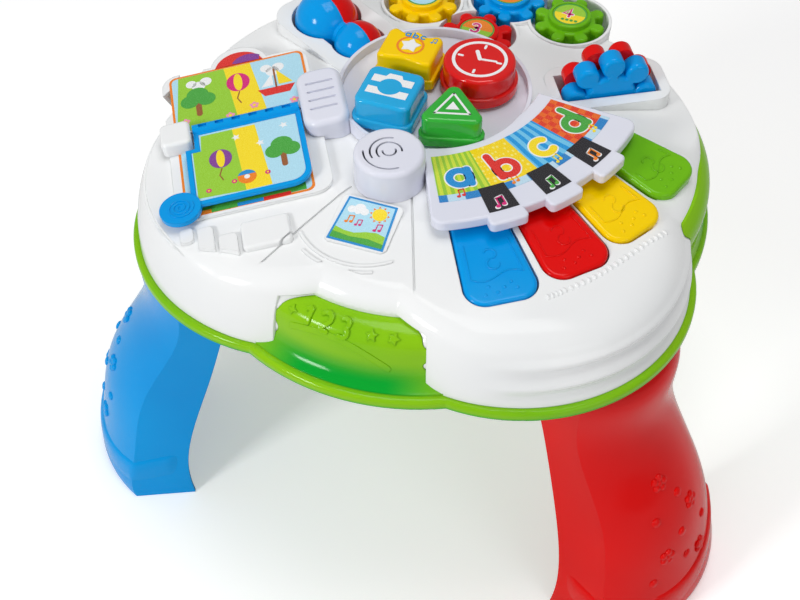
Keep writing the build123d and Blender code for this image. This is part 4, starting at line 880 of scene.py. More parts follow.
def build_flower_tree():
    sizes = {"Petals": ("Int", 5), "Reach": ("Float", 0.004), "Petal Radius": ("Float", 0.003),
             "Height": ("Float", 0.002)}
    tree, given, result = marks_tree("flowers_on_points", sizes)
    pip, scale = round_pip(tree), pip_scale(tree, given, ("Petal Radius", "Petal Radius", "Height"))
    circle = add_node(tree, "GeometryNodeMeshCircle", {"Vertices": given["Petals"], "Radius": given["Reach"]})
    inputs = {"Points": circle.outputs["Mesh"], "Instance": pip, "Scale": scale}
    petals = add_node(tree, "GeometryNodeInstanceOnPoints", inputs)
    heart = add_node(tree, "GeometryNodeTransform", {"Geometry": pip, "Scale": scale})
    whole = add_node(tree, "GeometryNodeJoinGeometry", {"Geometry": petals.outputs["Instances"]})
    feed(tree, whole, {"Geometry": heart.outputs["Geometry"]})
    flower = add_node(tree, "GeometryNodeGeometryToInstance", {"Geometry": whole.outputs["Geometry"]})
    stand_on_points(tree, given, result, flower.outputs["Instances"])
    return tree


PIP_TREE, FLOWER_TREE = build_pip_tree(), build_flower_tree()


def placed_by_nodes(name, spots, tree, sizes, body, plastic):
    """Plain mesh of marks on spots of position, facing and run, made by one tree."""
    mesh = bpy.data.meshes.new(name + "_spots")
    mesh.from_pydata([spot[0] for spot in spots], [], [])
    for number, attribute in ((1, "facing"), (2, "along")):
        stored = mesh.attributes.new(attribute, "FLOAT_VECTOR", "POINT")
        for i, spot in enumerate(spots):
            stored.data[i].vector = spot[number]
    holder = new_object(name + "_holder", mesh)
    modifier = holder.modifiers.new("marks", "NODES")
    modifier.node_group = tree
    values = {**sizes, "Material": PLASTICS[plastic]}
    for item in tree.interface.items_tree:
        if item.in_out == "INPUT" and item.name in values:
            modifier[item.identifier] = values[item.name]
    made = finished_mesh(holder)
    made.name = name
    made.shade_smooth()
    return ride_on(new_object(name, made), body)


print("trees", PIP_TREE.name, FLOWER_TREE.name)

# %% [markdown]
# The curved panel carries four letter cells. Each cell has its own ground: stripes, dots, waves
# and checks. The grounds are shaders that read a UV map laid along and across the arc, so the
# pattern bends with the panel.

# %% Patterned grounds of the letter cells
CELL_START, CELL_PITCH, CELL_COUNT = -63.5, 14.1, 4
PRINT_INNER, PRINT_OUTER, BORDER_WIDE = 122.0, 171.0, 7.0
BUMP_ANGLES, BUMP_OUTER = (-49.4, -35.3, -21.2), 189.0
PATTERNS = {
    "stripes": ("Wave", {}, "Fac", 0.5),
    "waves": ("Wave", {"Distortion": 1.6, "Detail": 0.0, "Detail Scale": 1.0}, "Fac", 0.5),
    "checks": ("Checker", {}, "Fac", 0.5),
    "dots": ("Voronoi", {"Randomness": 0.35}, "Distance", 0.27),
}


def patterned_ground(name, first, second, kind, scale):
    stuff, tree, shader = new_stuff(name)
    texture, inputs, output, middle = PATTERNS[kind]
    chart = add_node(tree, "ShaderNodeUVMap", {}, uv_map="print_map").outputs["UV"]
    pattern = add_node(tree, "ShaderNodeTex" + texture, {**inputs, "Scale": scale, "Vector": chart})
    part = map_range(tree, pattern.outputs[output], middle - 0.05, middle + 0.05)
    one, other = grained_ink(tree, first, 12), grained_ink(tree, second, 12)
    feed(tree, shader, {"Base Color": mix_colours(tree, part, one["Color"], other["Color"]),
                        "Roughness": one["Roughness"], "Coat Weight": 0.2})
    return stuff


GROUNDS = [
    patterned_ground("striped_ground", (150, 200, 50), (205, 222, 60), "stripes", 2.2),
    patterned_ground("dotted_ground", (253, 236, 120), (250, 214, 20), "dots", 9.0),
    patterned_ground("wavy_ground", (110, 196, 236), (24, 150, 220), "waves", 1.4),
    patterned_ground("checked_ground", (236, 104, 30), (224, 60, 30), "checks", 7.0),
    patterned_ground("lined_border", (40, 130, 200), (190, 222, 240), "stripes", 2.0),
]
print("grounds", [g.name for g in GROUNDS])


# %% [markdown]
# The letter sheet is one printed film over the raised panel: four patterned cells in a fan, a
# lined border outside them and the dark keys between. Each cell is a closed sector between two
# arcs, so its print map runs along and across the fan as the real print does.

# %% Letter sheet with four cells, a lined border and three dark keys
def sector_solid(form, chart, inner, outer, start, end, low, high, tone, steps=8):
    """Closed sector between two arcs, with the print map along and across it."""
    section = ((inner, low), (outer, low), (outer, high), (inner, high))
    turns = [start + (end - start) * i / steps for i in range(steps + 1)]
    rows = [[form.verts.new(LETTERS @ Vector((*polar(reach, turn), height))) for reach, height in section]
            for turn in turns]
    back = LETTERS.inverted()
    for face in skin_rows(form, rows, tone):
        for loop in face.loops:
            spot = back @ loop.vert.co
            along = (degrees(atan2(spot.y, spot.x)) - start) / (end - start)
            loop[chart].uv = (along, (hypot(spot.x, spot.y) - inner) / (outer - inner))


form = bmesh.new()
chart = form.loops.layers.uv.new("print_map")
border_inner, last_end = PRINT_OUTER - BORDER_WIDE, CELL_START + CELL_PITCH * CELL_COUNT
for number in range(CELL_COUNT):
    start = CELL_START + CELL_PITCH * number
    sector_solid(form, chart, PRINT_INNER, border_inner, start, start + CELL_PITCH, 0.02, 0.38, number)
sector_solid(form, chart, border_inner, PRINT_OUTER, CELL_START, last_end, 0.02, 0.38, 4, 24)
for angle in BUMP_ANGLES:
    sector_solid(form, chart, border_inner - 1, BUMP_OUTER, angle - 3.6, angle + 3.6, 0.03, 0.42, 5)
stuffs = [*GROUNDS, INKS["black"]]
letter_sheet = new_piece("letter_sheet", form, "table", stuffs, ["letter_print"])
print("letter sheet faces", len(letter_sheet.data.polygons))

# %% [markdown]
# The letters are the round hand that children learn: a ring and a bar, or an open ring. A wider
# white stroke under each one gives the outline that the print shows.

# %% Letters a, b, c and d, and the notes
LETTER_BOWLS = {"a": (0.0, -1.0), "b": (0.0, -3.0), "d": (0.0, -3.0)}
LETTER_STROKES = {
    "a": [(6.0, 5.4), (6.0, -7.2)],
    "b": [(-6.0, 11.0), (-6.0, -9.0)],
    "c": arc(0, -1.0, 6.4, 50, 310),
    "d": [(6.0, 11.0), (6.0, -9.0)],
}
LETTER_INKS = {"a": "blue", "b": "red", "c": "yellow", "d": "green"}
LETTER_TONES = ["white", "blue", "red", "yellow", "green", "orange", "magenta"]
NOTE_STROKES = [[(-1.6, -3.0), (-1.6, 3.0)], [(2.4, -2.2), (2.4, 3.8)], [(-1.6, 3.2), (2.4, 4.0)]]
NOTE_HEADS = [(-2.6, -3.2), (1.4, -2.4)]
BOWL_RADIUS, EDGE_WIDE = 6.2, 1.1
LETTER_REACH, BUMP_NOTE_REACH, BORDER_NOTE_REACH = 147.0, 181.0, 164.0
BUMP_NOTES = tuple(zip(BUMP_ANGLES, ("magenta", "green", "orange")))
BORDER_NOTES = ((-57.5, "red"), (-42.6, "orange"), (-28.6, "yellow"), (-13.0, "yellow"))


def draw_letter(form, where, letter, size, width, low, tone, edge_tone=None):
    path = [(u * size, v * size) for u, v in LETTER_STROKES[letter]]
    if edge_tone is not None:
        cut_shape(form, where, stroke(path, width + 2 * EDGE_WIDE), low, low + 0.12, edge_tone)
    cut_shape(form, where, stroke(path, width), low + 0.02, low + 0.3, tone)
    if letter in LETTER_BOWLS:
        x, y = (value * size for value in LETTER_BOWLS[letter])
        inner, outer = BOWL_RADIUS * size - width / 2, BOWL_RADIUS * size + width / 2
        if edge_tone is not None:
            ring(form, where, x, y, inner - EDGE_WIDE, outer + EDGE_WIDE, low, low + 0.12, edge_tone)
        ring(form, where, x, y, inner, outer, low + 0.04, low + 0.34, tone)


def draw_notes(form, where, size, low, tone):
    where = shifted(where, 0, 0, size)
    for path in NOTE_STROKES:
        cut_shape(form, where, stroke(path, 0.9), low, low + 0.2, tone)
    for u, v in NOTE_HEADS:
        cut_shape(form, where, arc(u, v, 1.5, steps=14, flatten=0.8), low, low + 0.22, tone)


def arc_place(reach, angle, rise):
    """Place on the letter panel, with x along the arc and y towards the middle."""
    return level_place(*polar(reach, angle, LETTER_X, LETTER_Y), LETTER_TOP + rise, angle + 90)


form = bmesh.new()
for number, (letter, ink_name) in enumerate(LETTER_INKS.items()):
    spot = arc_place(LETTER_REACH, CELL_START + CELL_PITCH * (number + 0.5), 0.3)
    draw_letter(form, spot, letter, 1.24, 5.8, 0.1, LETTER_TONES.index(ink_name), 0)
for angle, ink_name in BUMP_NOTES:
    spot = arc_place(BUMP_NOTE_REACH, angle, 0.4)
    draw_notes(form, spot, 1.5, 0.05, 0)
    draw_notes(form, spot, 1.25, 0.3, LETTER_TONES.index(ink_name))
for angle, ink_name in BORDER_NOTES:
    spot = arc_place(BORDER_NOTE_REACH, angle, 0.38)
    draw_notes(form, spot, 1.0, 0.05, LETTER_TONES.index(ink_name))
letters = print_piece("letters", form, "table", LETTER_TONES)
print("letters drawn", len(letters.data.polygons))


# %% [markdown]
# The four push buttons carry plain signs: a clock face, a camera, a play arrow and a star. The
# first three are white prints on clear plastic, and the star is a white raised moulding.

# %% Signs on the clock, camera, play and star buttons
SIGN_LOW, SIGN_HIGH = 0.02, 0.3


def button_place(name, x=0.0, y=0.0):
    return shifted(level_place(*BUTTONS[name], BUTTON_TOP), x, y)


form, spot = bmesh.new(), button_place("clock")
ring(form, spot, 0, 0, 19.4, 22.0, SIGN_LOW, SIGN_HIGH)
for turn in (0, 90, 180, 270):
    cut_shape(form, spot, stroke([polar(14.2, turn), polar(17.2, turn)], 2.0), SIGN_LOW, SIGN_HIGH)
cut_shape(form, spot, stroke([(0, 0), (-4.6, 8.6)], 3.2), SIGN_LOW, SIGN_HIGH)
cut_shape(form, spot, stroke([(0, 0), (13.0, 1.2)], 2.0), SIGN_LOW, SIGN_HIGH + 0.04)
print_piece("clock_sign", form, "clock_button", ["white"])

form, spot, half = bmesh.new(), button_place("camera"), 16.5
for side, top in ((1, 15.0), (-1, -11.0)):
    arch = [(x, side * y) for x, y in arc(0, 0, 9.6, 20, 160, 14)]
    slot, edge_top = side * 3.2, side * 11.0
    edge = [(-half, slot), (-half, edge_top), (-7.0, edge_top), (-5.0, top),
            (5.0, top), (7.0, edge_top), (half, edge_top), (half, slot)]
    cut_shape(form, spot, (edge + arch)[::-side], SIGN_LOW, SIGN_HIGH)
print_piece("camera_sign", form, "camera_button", ["white"])

form, spot = bmesh.new(), button_place("play")
corners = [polar(15.5, turn) for turn in (105, 225, 345, 105)]
for path in zip(corners, corners[1:]):
    cut_shape(form, spot, stroke(path, 1.7), SIGN_LOW, SIGN_HIGH)
cut_shape(form, spot, [polar(6.0, turn) for turn in (105, 225, 345)], SIGN_LOW, SIGN_HIGH)
print_piece("play_sign", form, "play_button", ["white"])

form, spot = bmesh.new(), button_place("star", 0, -1.0)
cut_shape(form, spot, star_outline(5, 8.6, 5.2), SIGN_LOW, 0.6)
ring(form, spot, 0, 0, 9.4, 11.2, SIGN_LOW, 0.25, 1)
stuffs = [PLASTICS["white_plastic"], INKS["orange"]]
new_piece("star_sign", form, "star_button", stuffs, round_edges=0.25)

form = bmesh.new()
for number, letter in enumerate("abc"):
    draw_letter(form, button_place("star", -6.0 + 6.4 * number, 11.6), letter, 0.3, 1.3, SIGN_LOW, 0)
draw_notes(form, button_place("star", 16.5, 10.0), 0.7, SIGN_LOW, 0)
print_piece("star_letters", form, "star_button", ["blue"])
print("signs on", list(BUTTONS))

# %% [markdown]
# Every gear has a round label in its hub. A plain number on two bright grounds stands in for
# the picture, so the label stays a counting label and nothing more.

# %% Numbers on the gear labels
NUMBER_STROKES = {
    "1": [[(-2.6, 3.0), (0.6, 5.4)], [(0.6, 5.4), (0.6, -5.4)]],
    "2": [arc(0, 2.4, 3.2, 160, -40, 12) + [(-3.0, -5.2)], [(-3.0, -5.2), (3.6, -5.2)]],
    "3": [arc(0, 2.6, 2.8, 150, -80, 12), arc(0, -2.7, 3.0, 80, -150, 12)],
    "4": [[(1.6, -5.4), (1.6, 5.4), (-3.8, -1.8), (4.2, -1.8)]],
}
LABEL_ROUND, HALF_ROUND, BORDER_INNER, BORDER_OUTER = 14.6, 13.4, 13.2, 14.4
GEAR_LABELS = {"yellow": ("1", "blue", "sky"), "blue": ("2", "yellow", "orange"),
               "red": ("3", "orange", "lime"), "green": ("4", "lime", "yellow")}
for name, (number, ground, half_ground) in GEAR_LABELS.items():
    form, spot = bmesh.new(), level_place(*GEARS[name], GEAR_LABEL_TOP)
    cut_shape(form, spot, arc(0, 0, LABEL_ROUND, steps=40), 0.02, 0.34, 0)
    cut_shape(form, spot, arc(0, 0, HALF_ROUND, 180, 360, 24), 0.3, 0.42, 1)
    ring(form, spot, 0, 0, BORDER_INNER, BORDER_OUTER, 0.3, 0.5, 2, 40)
    for path in NUMBER_STROKES[number]:
        lifted = [(u - 2.0, v + 1.6) for u, v in path]
        cut_shape(form, spot, stroke(lifted, 3.6), 0.3, 0.5, 3)
        cut_shape(form, spot, stroke(lifted, 2.2), 0.3, 0.6, 4)
    for i in range(int(number)):
        cut_shape(form, spot, arc(-4.5 + 3.8 * i, -8.2, 1.5, steps=12), 0.3, 0.55, 2)
    inks = [ground, half_ground, "green", "white", "magenta"]
    print_piece(f"{name}_gear_print", form, f"{name}_gear", inks, [f"{name}_gear_label"])
print("gear labels", len(GEAR_LABELS))


# %% [markdown]
# The front skirt shows the counting numbers 1, 2 and 3 between a few small signs, and a soft
# fold above its hollow. They are raised from the same lime plastic, so only their soft edges and
# shadows show. Drawing flat and settling on the curved skirt keeps them even.

# %% Raised numbers, signs and fold of the front skirt
SKIRT_NUMBERS, NUMBER_SIZE = {"1": -99.6, "2": -95.4, "3": -90.9}, 1.3
SKIRT_OUT, SKIRT_UP, MARK_RISE = 0.66, 0.75, 37.0
SKIRT_STARS = ((-103.8, star_outline(4, 4.6, 1.8)), (-84.2, star_outline(5, 5.4, 2.6)),
               (-79.2, star_outline(5, 5.4, 2.6, 70.0)))


def skirt_place(angle, reach, rise):
    x, y = polar(1.0, angle)
    up = (SKIRT_OUT * x, SKIRT_OUT * y, SKIRT_UP)
    return place((reach * x, reach * y, RIM_HEIGHT + rise), (-y, x, 0), up)


form, settled = bmesh.new(), 0
for number, angle in SKIRT_NUMBERS.items():
    first, spot = len(form.verts), skirt_place(angle, 178.0, MARK_RISE)
    for path in NUMBER_STROKES[number]:
        sized = [(u * NUMBER_SIZE, v * NUMBER_SIZE) for u, v in path]
        band(form, spot, fine_path(sized), 3.8, -0.4, 1.9)
    settled += settle(form, spot, SKIRT_SURFACE, first)
for angle, outline in SKIRT_STARS:
    first, spot = len(form.verts), skirt_place(angle, 179.0, MARK_RISE)
    cut_shape(form, spot, outline, -0.4, 1.6)
    settled += settle(form, spot, SKIRT_SURFACE, first)
plastic_piece("skirt_marks", form, "table", "lime_plastic", 0.7)

form, spot = bmesh.new(), skirt_place(-93.0, 186.0, 26.0)
alongs = [i / 24 for i in range(25)]
fold = [(-36.0 + 80.0 * along, 3.0 - 10.0 * along + 6.0 * sin(pi * along)) for along in alongs]
band(form, spot, fine_path(fold), 5.0, -0.5, 0.7)
settled += settle(form, spot, SKIRT_SURFACE)
plastic_piece("skirt_fold", form, "table", "lime_plastic", 0.85)
print("skirt points settled", settled)

# %% [markdown]
# Small ribs stand in a row on the white shell just outside the ends of the keys. They are a
# series along a bent line, which is what the pip tree is for: the line gives the spots, and a ray
# from above gives the height and the direction that the shell faces there.

# %% Row of ribs outside the keys
RIB_LINE = [(-49.5, 291.5), (-46.9, 290.4), (-43.0, 289.0), (-39.1, 286.8), (-35.0, 284.2),
            (-30.8, 282.6), (-26.8, 283.4)]
RIB_COUNT, ABOVE_ALL = 24, 420.0
RIB_SIZES = {"Length": 0.0026, "Width": 0.0013, "Height": 0.001}

ribs = []
for i in range(RIB_COUNT):
    along = i / (RIB_COUNT - 1) * (len(RIB_LINE) - 1)
    first = min(int(along), len(RIB_LINE) - 2)
    part = along - first
    angle, reach = (a * (1 - part) + b * part for a, b in zip(RIB_LINE[first], RIB_LINE[first + 1]))
    x, y = polar(reach, angle, FAN_X, FAN_Y)
    start = Vector((x, y + AXIS_Y, ABOVE_ALL)) * MM
    ribs.append((*landing(SHELL_SURFACE, start, Vector((0, 0, -1))), Vector((*polar(1.0, angle), 0))))
rib_row = placed_by_nodes("rib_row", ribs, PIP_TREE, RIB_SIZES, "table", "white_plastic")
print("ribs", len(ribs), "faces", len(rib_row.data.polygons))

# %% [markdown]
# Each key has a raised panel line with a wavy end and a scroll inside it, and bubbles towards
# its nose, all in the key's own plastic. They ride on the key, so they go down with it.

# %% Raised lines and bubbles on the keys
KEY_BUBBLES = ((-15.0, -9.0), (-12.5, 2.0), (-16.0, 8.0), (-9.0, -3.5), (-10.0, 11.0), (-8.5, -13.0))
BUBBLE_SIZES = {"Length": 0.0014, "Width": 0.0014, "Height": 0.0006}
LINE_NEAR, LINE_SHORT, LINE_INSET, LINE_LOW, LINE_HIGH = 236.0, 23.0, 6.5, -0.5, 0.42
WAVE_DEEP, WAVE_STEPS = 3.2, 12
for name, outer in KEY_OUTERS.items():
    form, spot, surface = bmesh.new(), key_place(name), node_surface(f"{name}_key")
    far, middle = outer - LINE_SHORT, (LINE_NEAR + outer - LINE_SHORT) / 2
    near_half, far_half = (reach * KEY_SPREAD_SLOPE - LINE_INSET for reach in (LINE_NEAR, far))
    alongs = [i / WAVE_STEPS for i in range(WAVE_STEPS + 1)]
    wave = [(far + WAVE_DEEP * sin(2 * pi * along), (2 * along - 1) * far_half) for along in alongs]
    line = [(LINE_NEAR, -near_half), *wave, (LINE_NEAR, near_half)]
    band(form, spot, fine_path(line), 1.1, LINE_LOW, LINE_HIGH)
    for shift, radius, start, end in ((4.6, 4.6, -170, 90), (-4.4, 4.4, 10, 250)):
        band(form, spot, arc(middle + shift, 0.0, radius, start, end, 16), 1.5, LINE_LOW, LINE_HIGH)
    settle(form, spot, surface)
    body, plastic = f"{name}_key", f"{name}_plastic"
    plastic_piece(f"{name}_key_lines", form, body, plastic, 0.25)
    bubbles = [(*landing(surface, spot @ Vector((outer + u, v, 20.0)), -outward(spot)), Vector((1, 0, 0)))
               for u, v in KEY_BUBBLES]
    placed_by_nodes(f"{name}_key_bubbles", bubbles, PIP_TREE, BUBBLE_SIZES, body, plastic)
print("keys marked", len(KEY_OUTERS))

# %% [markdown]
# A trail of flowers and bubbles climbs the outer face of every leg. The flower tree makes them
# from a ring of petals, and rays shot at the leg from outside give the spots.

# %% Flowers and bubbles on the legs
FLOWER_SIZES = {"Petals": 5, "Reach": 0.0046, "Petal Radius": 0.0034, "Height": 0.0022}
LEG_BUBBLE_SIZES = {"Length": 0.0042, "Width": 0.0042, "Height": 0.002}
TRAILS = {
    "flowers": (FLOWER_TREE, FLOWER_SIZES, [(-10.0, 150.0), (16.0, 118.0), (-20.0, 84.0), (22.0, 62.0)]),
    "bubbles": (PIP_TREE, LEG_BUBBLE_SIZES, [(4.0, 134.0), (-24.0, 122.0), (-2.0, 100.0), (30.0, 90.0),
                                             (2.0, 70.0), (-34.0, 60.0)]),
}
OUTSIDE = 420.0
for leg, (angle, colour) in LEGS.items():
    surface, (away, aside) = node_surface(leg), table_directions(angle)
    for kind, (tree, sizes, trail) in TRAILS.items():
        starts = [away * OUTSIDE + aside * side + Vector((0, AXIS_Y, height)) for side, height in trail]
        spots = [(*landing(surface, start * MM, -away), aside) for start in starts]
        placed_by_nodes(f"{leg}_{kind}", spots, tree, sizes, "table", f"{colour}_plastic")
print("legs marked", len(LEGS))

# %% [markdown]
# Each foot has a toe cap, whose upper edge swings low across the front and rises to both sides.
# A grid of rays finds the leg's own surface, and the cap follows it: a quick step up at the edge,
# then a long way back down into the foot, as the mould has it.

# %% Toe caps of the legs
CAP_PROFILE = [(-1.5, -1.2), (0.0, -0.4), (1.4, 0.7), (3.0, 1.5), (5.5, 1.9), (9.0, 1.8),
               (13.0, 1.4), (18.0, 0.8), (24.0, 0.1), (28.0, -0.8)]
CAP_TURN, CAP_STEPS, CAP_CENTRE, CAP_RAY, CAP_SHARP = 96.0, 96, 234.0, 160.0, 50.0
CAP_LOWEST, CAP_LOW_TURN, CAP_STEEP, CAP_SHALLOW = 43.0, 25.0, 0.0037, 0.002
CAP_SUNK, CAP_END_SUNK, CAP_END_STEPS = 1.8, 0.8, 5
for leg, (angle, colour) in LEGS.items():
    surface, (away, aside) = node_surface(leg), table_directions(angle)
    lean = -1.0 if leg == "front_right_leg" else 1.0
    form, rows = bmesh.new(), []
    for i in range(CAP_STEPS + 1):
        turn = -CAP_TURN + 2 * CAP_TURN * i / CAP_STEPS
        out = away * cos(radians(turn)) + aside * sin(radians(turn))
        across = lean * turn - CAP_LOW_TURN
        edge_height = CAP_LOWEST + (CAP_STEEP if across < 0 else CAP_SHALLOW) * across * across
        ease = min(1.0, i / CAP_END_STEPS, (CAP_STEPS - i) / CAP_END_STEPS)
        overs, unders = [], []
        for drop, lift in CAP_PROFILE:
            centre = away * CAP_CENTRE + Vector((0, AXIS_Y, edge_height - drop))
            hit, facing = landing(surface, (centre + out * CAP_RAY) * MM, -out)
            if hit is not None and (hit - centre * MM).dot(out) > 0:
                overs.append(hit + facing * (lift * ease - CAP_END_SUNK * (1 - ease)) * MM)
                unders.append(hit - facing * CAP_SUNK * MM)
        if len(overs) == len(CAP_PROFILE):
            rows.append([form.verts.new(spot) for spot in overs + unders[::-1]])
    skin_rows(form, rows)
    for face in form.faces:
        face.smooth = True
    cap = plastic_piece(f"{leg}_toe_cap", form, "table", f"{colour}_plastic")
    cap.data.set_sharp_from_angle(angle=radians(CAP_SHARP))
    print(cap.name, "columns", len(rows))


# %% [markdown]
# The front label is a small sky picture with hills, a sun, a cloud and notes. Every picture here
# is a list of plain cut shapes of our own, each with its outline, its two heights and its ink, so
# one function paints them all.

# %% Front label
LABEL_TONES = ["sky", "white", "lime", "green", "yellow", "orange", "magenta", "blue"]
LABEL_OUTLINES = [
    ([(-22.0, -20.6), (22.0, -20.6), (19.2, 20.6), (-19.2, 20.6)], 0.02, 0.32, "blue"),
    ([(-20.2, -18.8), (20.2, -18.8), (17.6, 18.8), (-17.6, 18.8)], 0.3, 0.4, "sky"),
    ([(-20.2, -18.8), (20.2, -18.8), (19.2, -8.0), (12.0, -6.2), (4.0, -7.6), (-4.0, -10.6),
      (-12.0, -10.4), (-19.4, -8.4)], 0.36, 0.5, "lime"),
    ([(-20.2, -18.8), (20.2, -18.8), (20.0, -15.0), (8.0, -13.2), (-6.0, -14.6), (-20.0, -13.0)],
     0.42, 0.56, "green"),
]
SUN = [(arc(0, 0, 5.6), 0.4, 0.52, "yellow")]
SUN += [([polar(6.2, turn - 11), polar(7.9, turn), polar(6.2, turn + 11)], 0.4, 0.5, "orange")
        for turn in range(0, 360, 36)]
PUFFS = ((-4.0, 0.0, 2.6), (0.6, 1.6, 3.6), (4.0, 0.0, 2.6), (0.0, -0.6, 2.2))
CLOUD = [(arc(*puff, steps=20), 0.4, 0.54 + 0.02 * i, "white") for i, puff in enumerate(PUFFS)]
LABEL_NOTES = ((-11.0, 0.5, 0.9, "orange"), (-3.6, -1.0, 0.75, "magenta"), (11.8, -1.6, 0.9, "magenta"))


def paint(form, where, shapes, tones):
    """Cut shapes of one picture, each with its own heights and ink."""
    for outline, low, high, ink_name in shapes:
        cut_shape(form, where, outline, low, high, tones.index(ink_name))


form = bmesh.new()
flat_label = LABEL @ Matrix.Translation((15.5, LABEL_REACH, 0)) @ Matrix.Rotation(pi, 4, "Z")
paint(form, flat_label, LABEL_OUTLINES, LABEL_TONES)
paint(form, shifted(flat_label, -8.0, 9.6, 1.25), CLOUD, LABEL_TONES)
paint(form, shifted(flat_label, 8.6, 10.2), SUN, LABEL_TONES)
for x, y, size, ink_name in LABEL_NOTES:
    draw_notes(form, shifted(flat_label, x, y), size, 0.44, LABEL_TONES.index(ink_name))
front_print = print_piece("front_print", form, "table", LABEL_TONES, ["front_label"])
print("front label shapes", len(front_print.data.polygons))


# %% [markdown]
# The pictures on the book's fixed side are built up like a paper collage: grounds in a few colours,
# then a boat, balloons, a tree, a ball and flowers, each a thin shape a little higher than the one
# under it. Thin steps in height keep the printed colours crisp where they meet.

# %% Book pictures on the fixed side
BOOK_TONES = ["sky", "white", "lime", "green", "yellow", "orange", "red", "blue", "brown", "purple",
              "magenta", "pink"]
QUARTER_TURN = Matrix(((0, 1, 0, 0), (-1, 0, 0, 0), (0, 0, 1, 0), (0, 0, 0, 1)))
CROWNS = ((-3.4, 1.4, 3.8), (3.4, 1.4, 3.8), (0, 4.6, 4.6))
TREE = [(stroke([(0, -7), (0, 0)], 2.4), 0.44, 0.56, "brown")]
TREE += [(arc(*crown, steps=18), 0.46, 0.6 + 0.02 * i, "green") for i, crown in enumerate(CROWNS)]
BALL = [(arc(0, 0, 5.2, steps=24), 0.46, 0.6, "orange"), (arc(0, 0, 5.2, 20, 160, 12), 0.5, 0.66, "blue"),
        (arc(0, 0, 1.6, steps=14), 0.6, 0.72, "white")]
BLOSSOM = [(arc(*polar(2.4, 72 * turn), 1.5, steps=10), 0.5, 0.6, "pink") for turn in range(5)]
BLOSSOM += [(arc(0, 0, 1.4, steps=10), 0.58, 0.66, "yellow")]


def boat(sail):
    return [([(-9, 0), (-6, -5), (6, -5), (9, 0)], 0.46, 0.6, "red"),
            (stroke([(0, 0), (0, 13)], 0.9), 0.46, 0.6, "brown"),
            ([(1.2, 1.5), (8, 1.5), (1.2, 12)], 0.48, 0.62, sail),
            ([(-1.2, 1.5), (-1.2, 10), (-7, 1.5)], 0.48, 0.62, "white")]


def balloon(colour):
    return [(arc(0, 0, 6.4, steps=24, flatten=1.15), 0.46, 0.6, colour),
            (arc(0, 0, 2.4, steps=18, flatten=2.9), 0.56, 0.68, "yellow"),
            (stroke([(0, -8), (-1.6, -13), (0, -17)], 0.7), 0.46, 0.58, "brown")]


def rounded(x0, x1, y0, y1, corner, steps=5):
    points = []
    for x, y, start in ((x1 - corner, y1 - corner, 0), (x0 + corner, y1 - corner, 90),
                        (x0 + corner, y0 + corner, 180), (x1 - corner, y0 + corner, 270)):
        points += arc(x, y, corner, start, start + 90, steps)
    return points


SHEET_DISCS = ((104, 108, 5.0), (100, 113, 5.6), (105, 118, 4.6), (106, 168, 5.0), (102, 174, 5.6),
               (106, 180, 4.4))
FIXED_SHAPES = [
    (rounded(50.2, 118.8, 86.2, 197.8, 6), 0.02, 0.32, "orange"),
    (rounded(50.2, 116.8, 88.2, 195.8, 5), 0.3, 0.42, "sky"),
    ([(50.4, 146.0), (116.6, 152.0), (116.6, 190.0), (50.4, 195.6)], 0.38, 0.48, "lime"),
    ([(50.4, 122.0), (116.6, 130.0), (116.6, 152.0), (50.4, 146.0)], 0.38, 0.48, "yellow"),
    *((arc(*disc, steps=18), 0.42, 0.54, "white") for disc in SHEET_DISCS),
    (rounded(-44.8, 35.8, 97.2, 196.8, 6), 0.02, 0.32, "orange"),
    (rounded(-42.8, 33.8, 99.2, 194.8, 5), 0.3, 0.42, "sky"),
    ([(-42.6, 104.0), (-42.6, 190.0), (-24.0, 188.0), (-20.0, 164.0), (-26.0, 140.0), (-20.0, 116.0),
      (-28.0, 104.0)], 0.4, 0.5, "green"),
    (arc(113.0, 139.0, 20.6, -75, 75, 18) + [(119.4, 159.0), (119.4, 119.0)], 0.02, 0.34, "red"),
    (arc(113.0, 131.0, 15.5, -40, 60, 14) + [(119.6, 142.0), (119.6, 122.0)], 0.3, 0.46, "purple"),
]
FIXED_SHAPES += [([(-44.6, start), (-41.0, start), (-41.0, end), (-44.6, end)], 0.3, 0.62, colour)
                 for start, end, colour in ((116, 137, "red"), (137, 157, "blue"),
                                            (157, 177, "green"), (177, 194, "orange"))]
FIXED_PICTURES = ((boat("yellow"), -112.0, 80.0, 1.7), (balloon("magenta"), -142.0, 96.0, 1.5),
                  (TREE, -176.0, 82.0, 2.0), (balloon("red"), -130.0, 10.0, 1.6), (BALL, -165.0, -12.0, 1.7))

form = bmesh.new()
paint(form, BOOK, FIXED_SHAPES, BOOK_TONES)
for shapes, x, y, size in FIXED_PICTURES:
    paint(form, shifted(BOOK @ QUARTER_TURN, x, y, size), shapes, BOOK_TONES)
for x, y in ((60, 100), (64, 132), (58, 152), (62, 188)):
    paint(form, shifted(BOOK, x, y), BLOSSOM, BOOK_TONES)
fixed_pictures = print_piece("fixed_pictures", form, "table", BOOK_TONES, ["book_print"])
print("fixed pictures", len(fixed_pictures.data.polygons))


# %% [markdown]
# The page that turns has a picture on both faces, and the lower one is the same place turned over
# in height. They ride on the page, so they are placed where it lies and follow the hinge.

# %% Pictures on the page that turns
PAGE_NEAR, PAGE_FAR, PAGE_LOW, PAGE_THICK, PAGE_INSET = -41.0, 43.0, 4.1, 3.0, 4.4


def page_outline(inset):
    near, far, corner = PAGE_NEAR + inset, PAGE_FAR - 7.2, 16.0 - inset
    start, end = 97.0 + inset, 190.0 - inset
    return [(far, start), (far, 181.7), (19.0, 181.7), (19.0, end), *arc(near + 2, end - 2, 2, 90, 180, 4),
            *arc(near + corner, start + corner, corner, 180, 270, 8)]


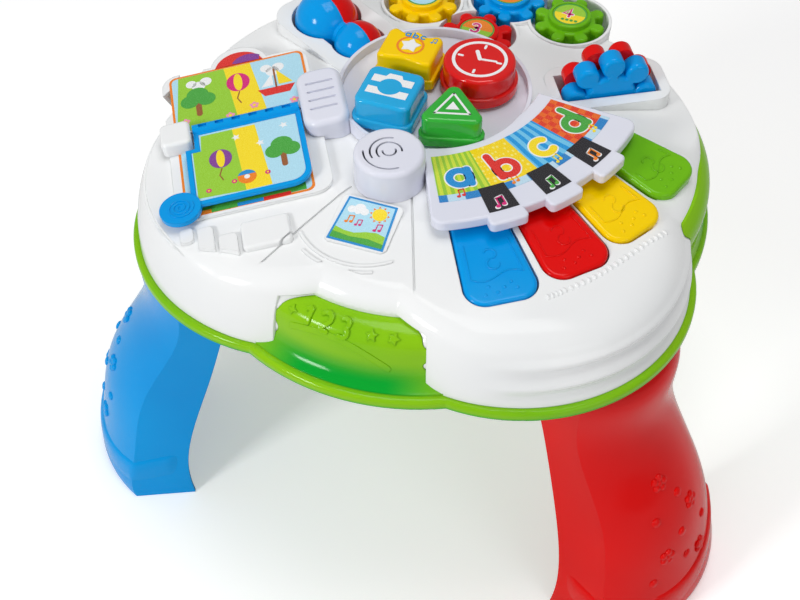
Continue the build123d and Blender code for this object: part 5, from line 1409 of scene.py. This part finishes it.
PAGE_SHAPES = [
    (page_outline(PAGE_INSET), 0.02, 0.3, "sky"),
    ([(-36.0, 148.0), (34.0, 152.0), (34.0, 177.0), (17.0, 178.0), (17.0, 184.6), (-34.0, 184.6)],
     0.28, 0.36, "lime"),
    ([(-36.0, 128.0), (34.0, 134.0), (34.0, 152.0), (-36.0, 148.0)], 0.28, 0.36, "yellow"),
]
PAGE_SHAPES += [(star_outline(5, 3.6, 1.62, x=x, y=y), 0.3, 0.44, "white")
                for x, y in ((26, 112), (24, 150), (12, 132))]
for x, y in ((-22, 130), (-24, 156), (-28, 176)):
    PAGE_SHAPES += [(arc(x, y, 2.2, steps=12), 0.32, 0.44, "magenta"),
                    (arc(x, y, 0.9, steps=10), 0.4, 0.5, "yellow")]
PAGE_FACES = {
    "front": (PAGE_LOW + PAGE_THICK - 0.6, 1, ((TREE, -116.0, -4.0, 1.9), (BALL, -146.0, -22.0, 1.4),
                                               (balloon("purple"), -164.0, 4.0, 1.4))),
    "back": (PAGE_LOW + 0.6, -1, ((boat("orange"), -122.0, -6.0, 1.6), (BALL, -160.0, -10.0, 1.6))),
}
for face_name, (low, side, pictures) in PAGE_FACES.items():
    form = bmesh.new()
    where = BOOK @ Matrix.Translation((0, 0, low)) @ Matrix.Diagonal((1, 1, side, 1))
    paint(form, where, PAGE_SHAPES, BOOK_TONES)
    lift = where @ QUARTER_TURN @ Matrix.Translation((0, 0, -0.1))
    for shapes, x, y, size in pictures:
        paint(form, shifted(lift, x, y, size), shapes, BOOK_TONES)
    print_piece(f"page_{face_name}_picture", form, "page", BOOK_TONES, [f"page_{face_name}_print"])
print("page pictures", len(PAGE_FACES))

# %% [markdown]
# The thumb tab of the page has a raised swirl. A spiral band is drawn on it and settled, and it
# rides on the page, so it turns over with it.

# %% Swirl on the page tab
SWIRL_START, SWIRL_GROWTH, SWIRL_TURN, SWIRL_POINTS = 1.2, 0.24, 26, 40
form, spot = bmesh.new(), shifted(BOOK, -40.0, 199.0)
swirl = [polar(SWIRL_START + SWIRL_GROWTH * i, SWIRL_TURN * i) for i in range(SWIRL_POINTS)]
band(form, spot, swirl, 1.5, -0.4, 0.6)
tab_points = settle(form, spot, node_surface("page_frame"))
plastic_piece("tab_swirl", form, "page", "blue_plastic", 0.3)
print("tab swirl points", tab_points)
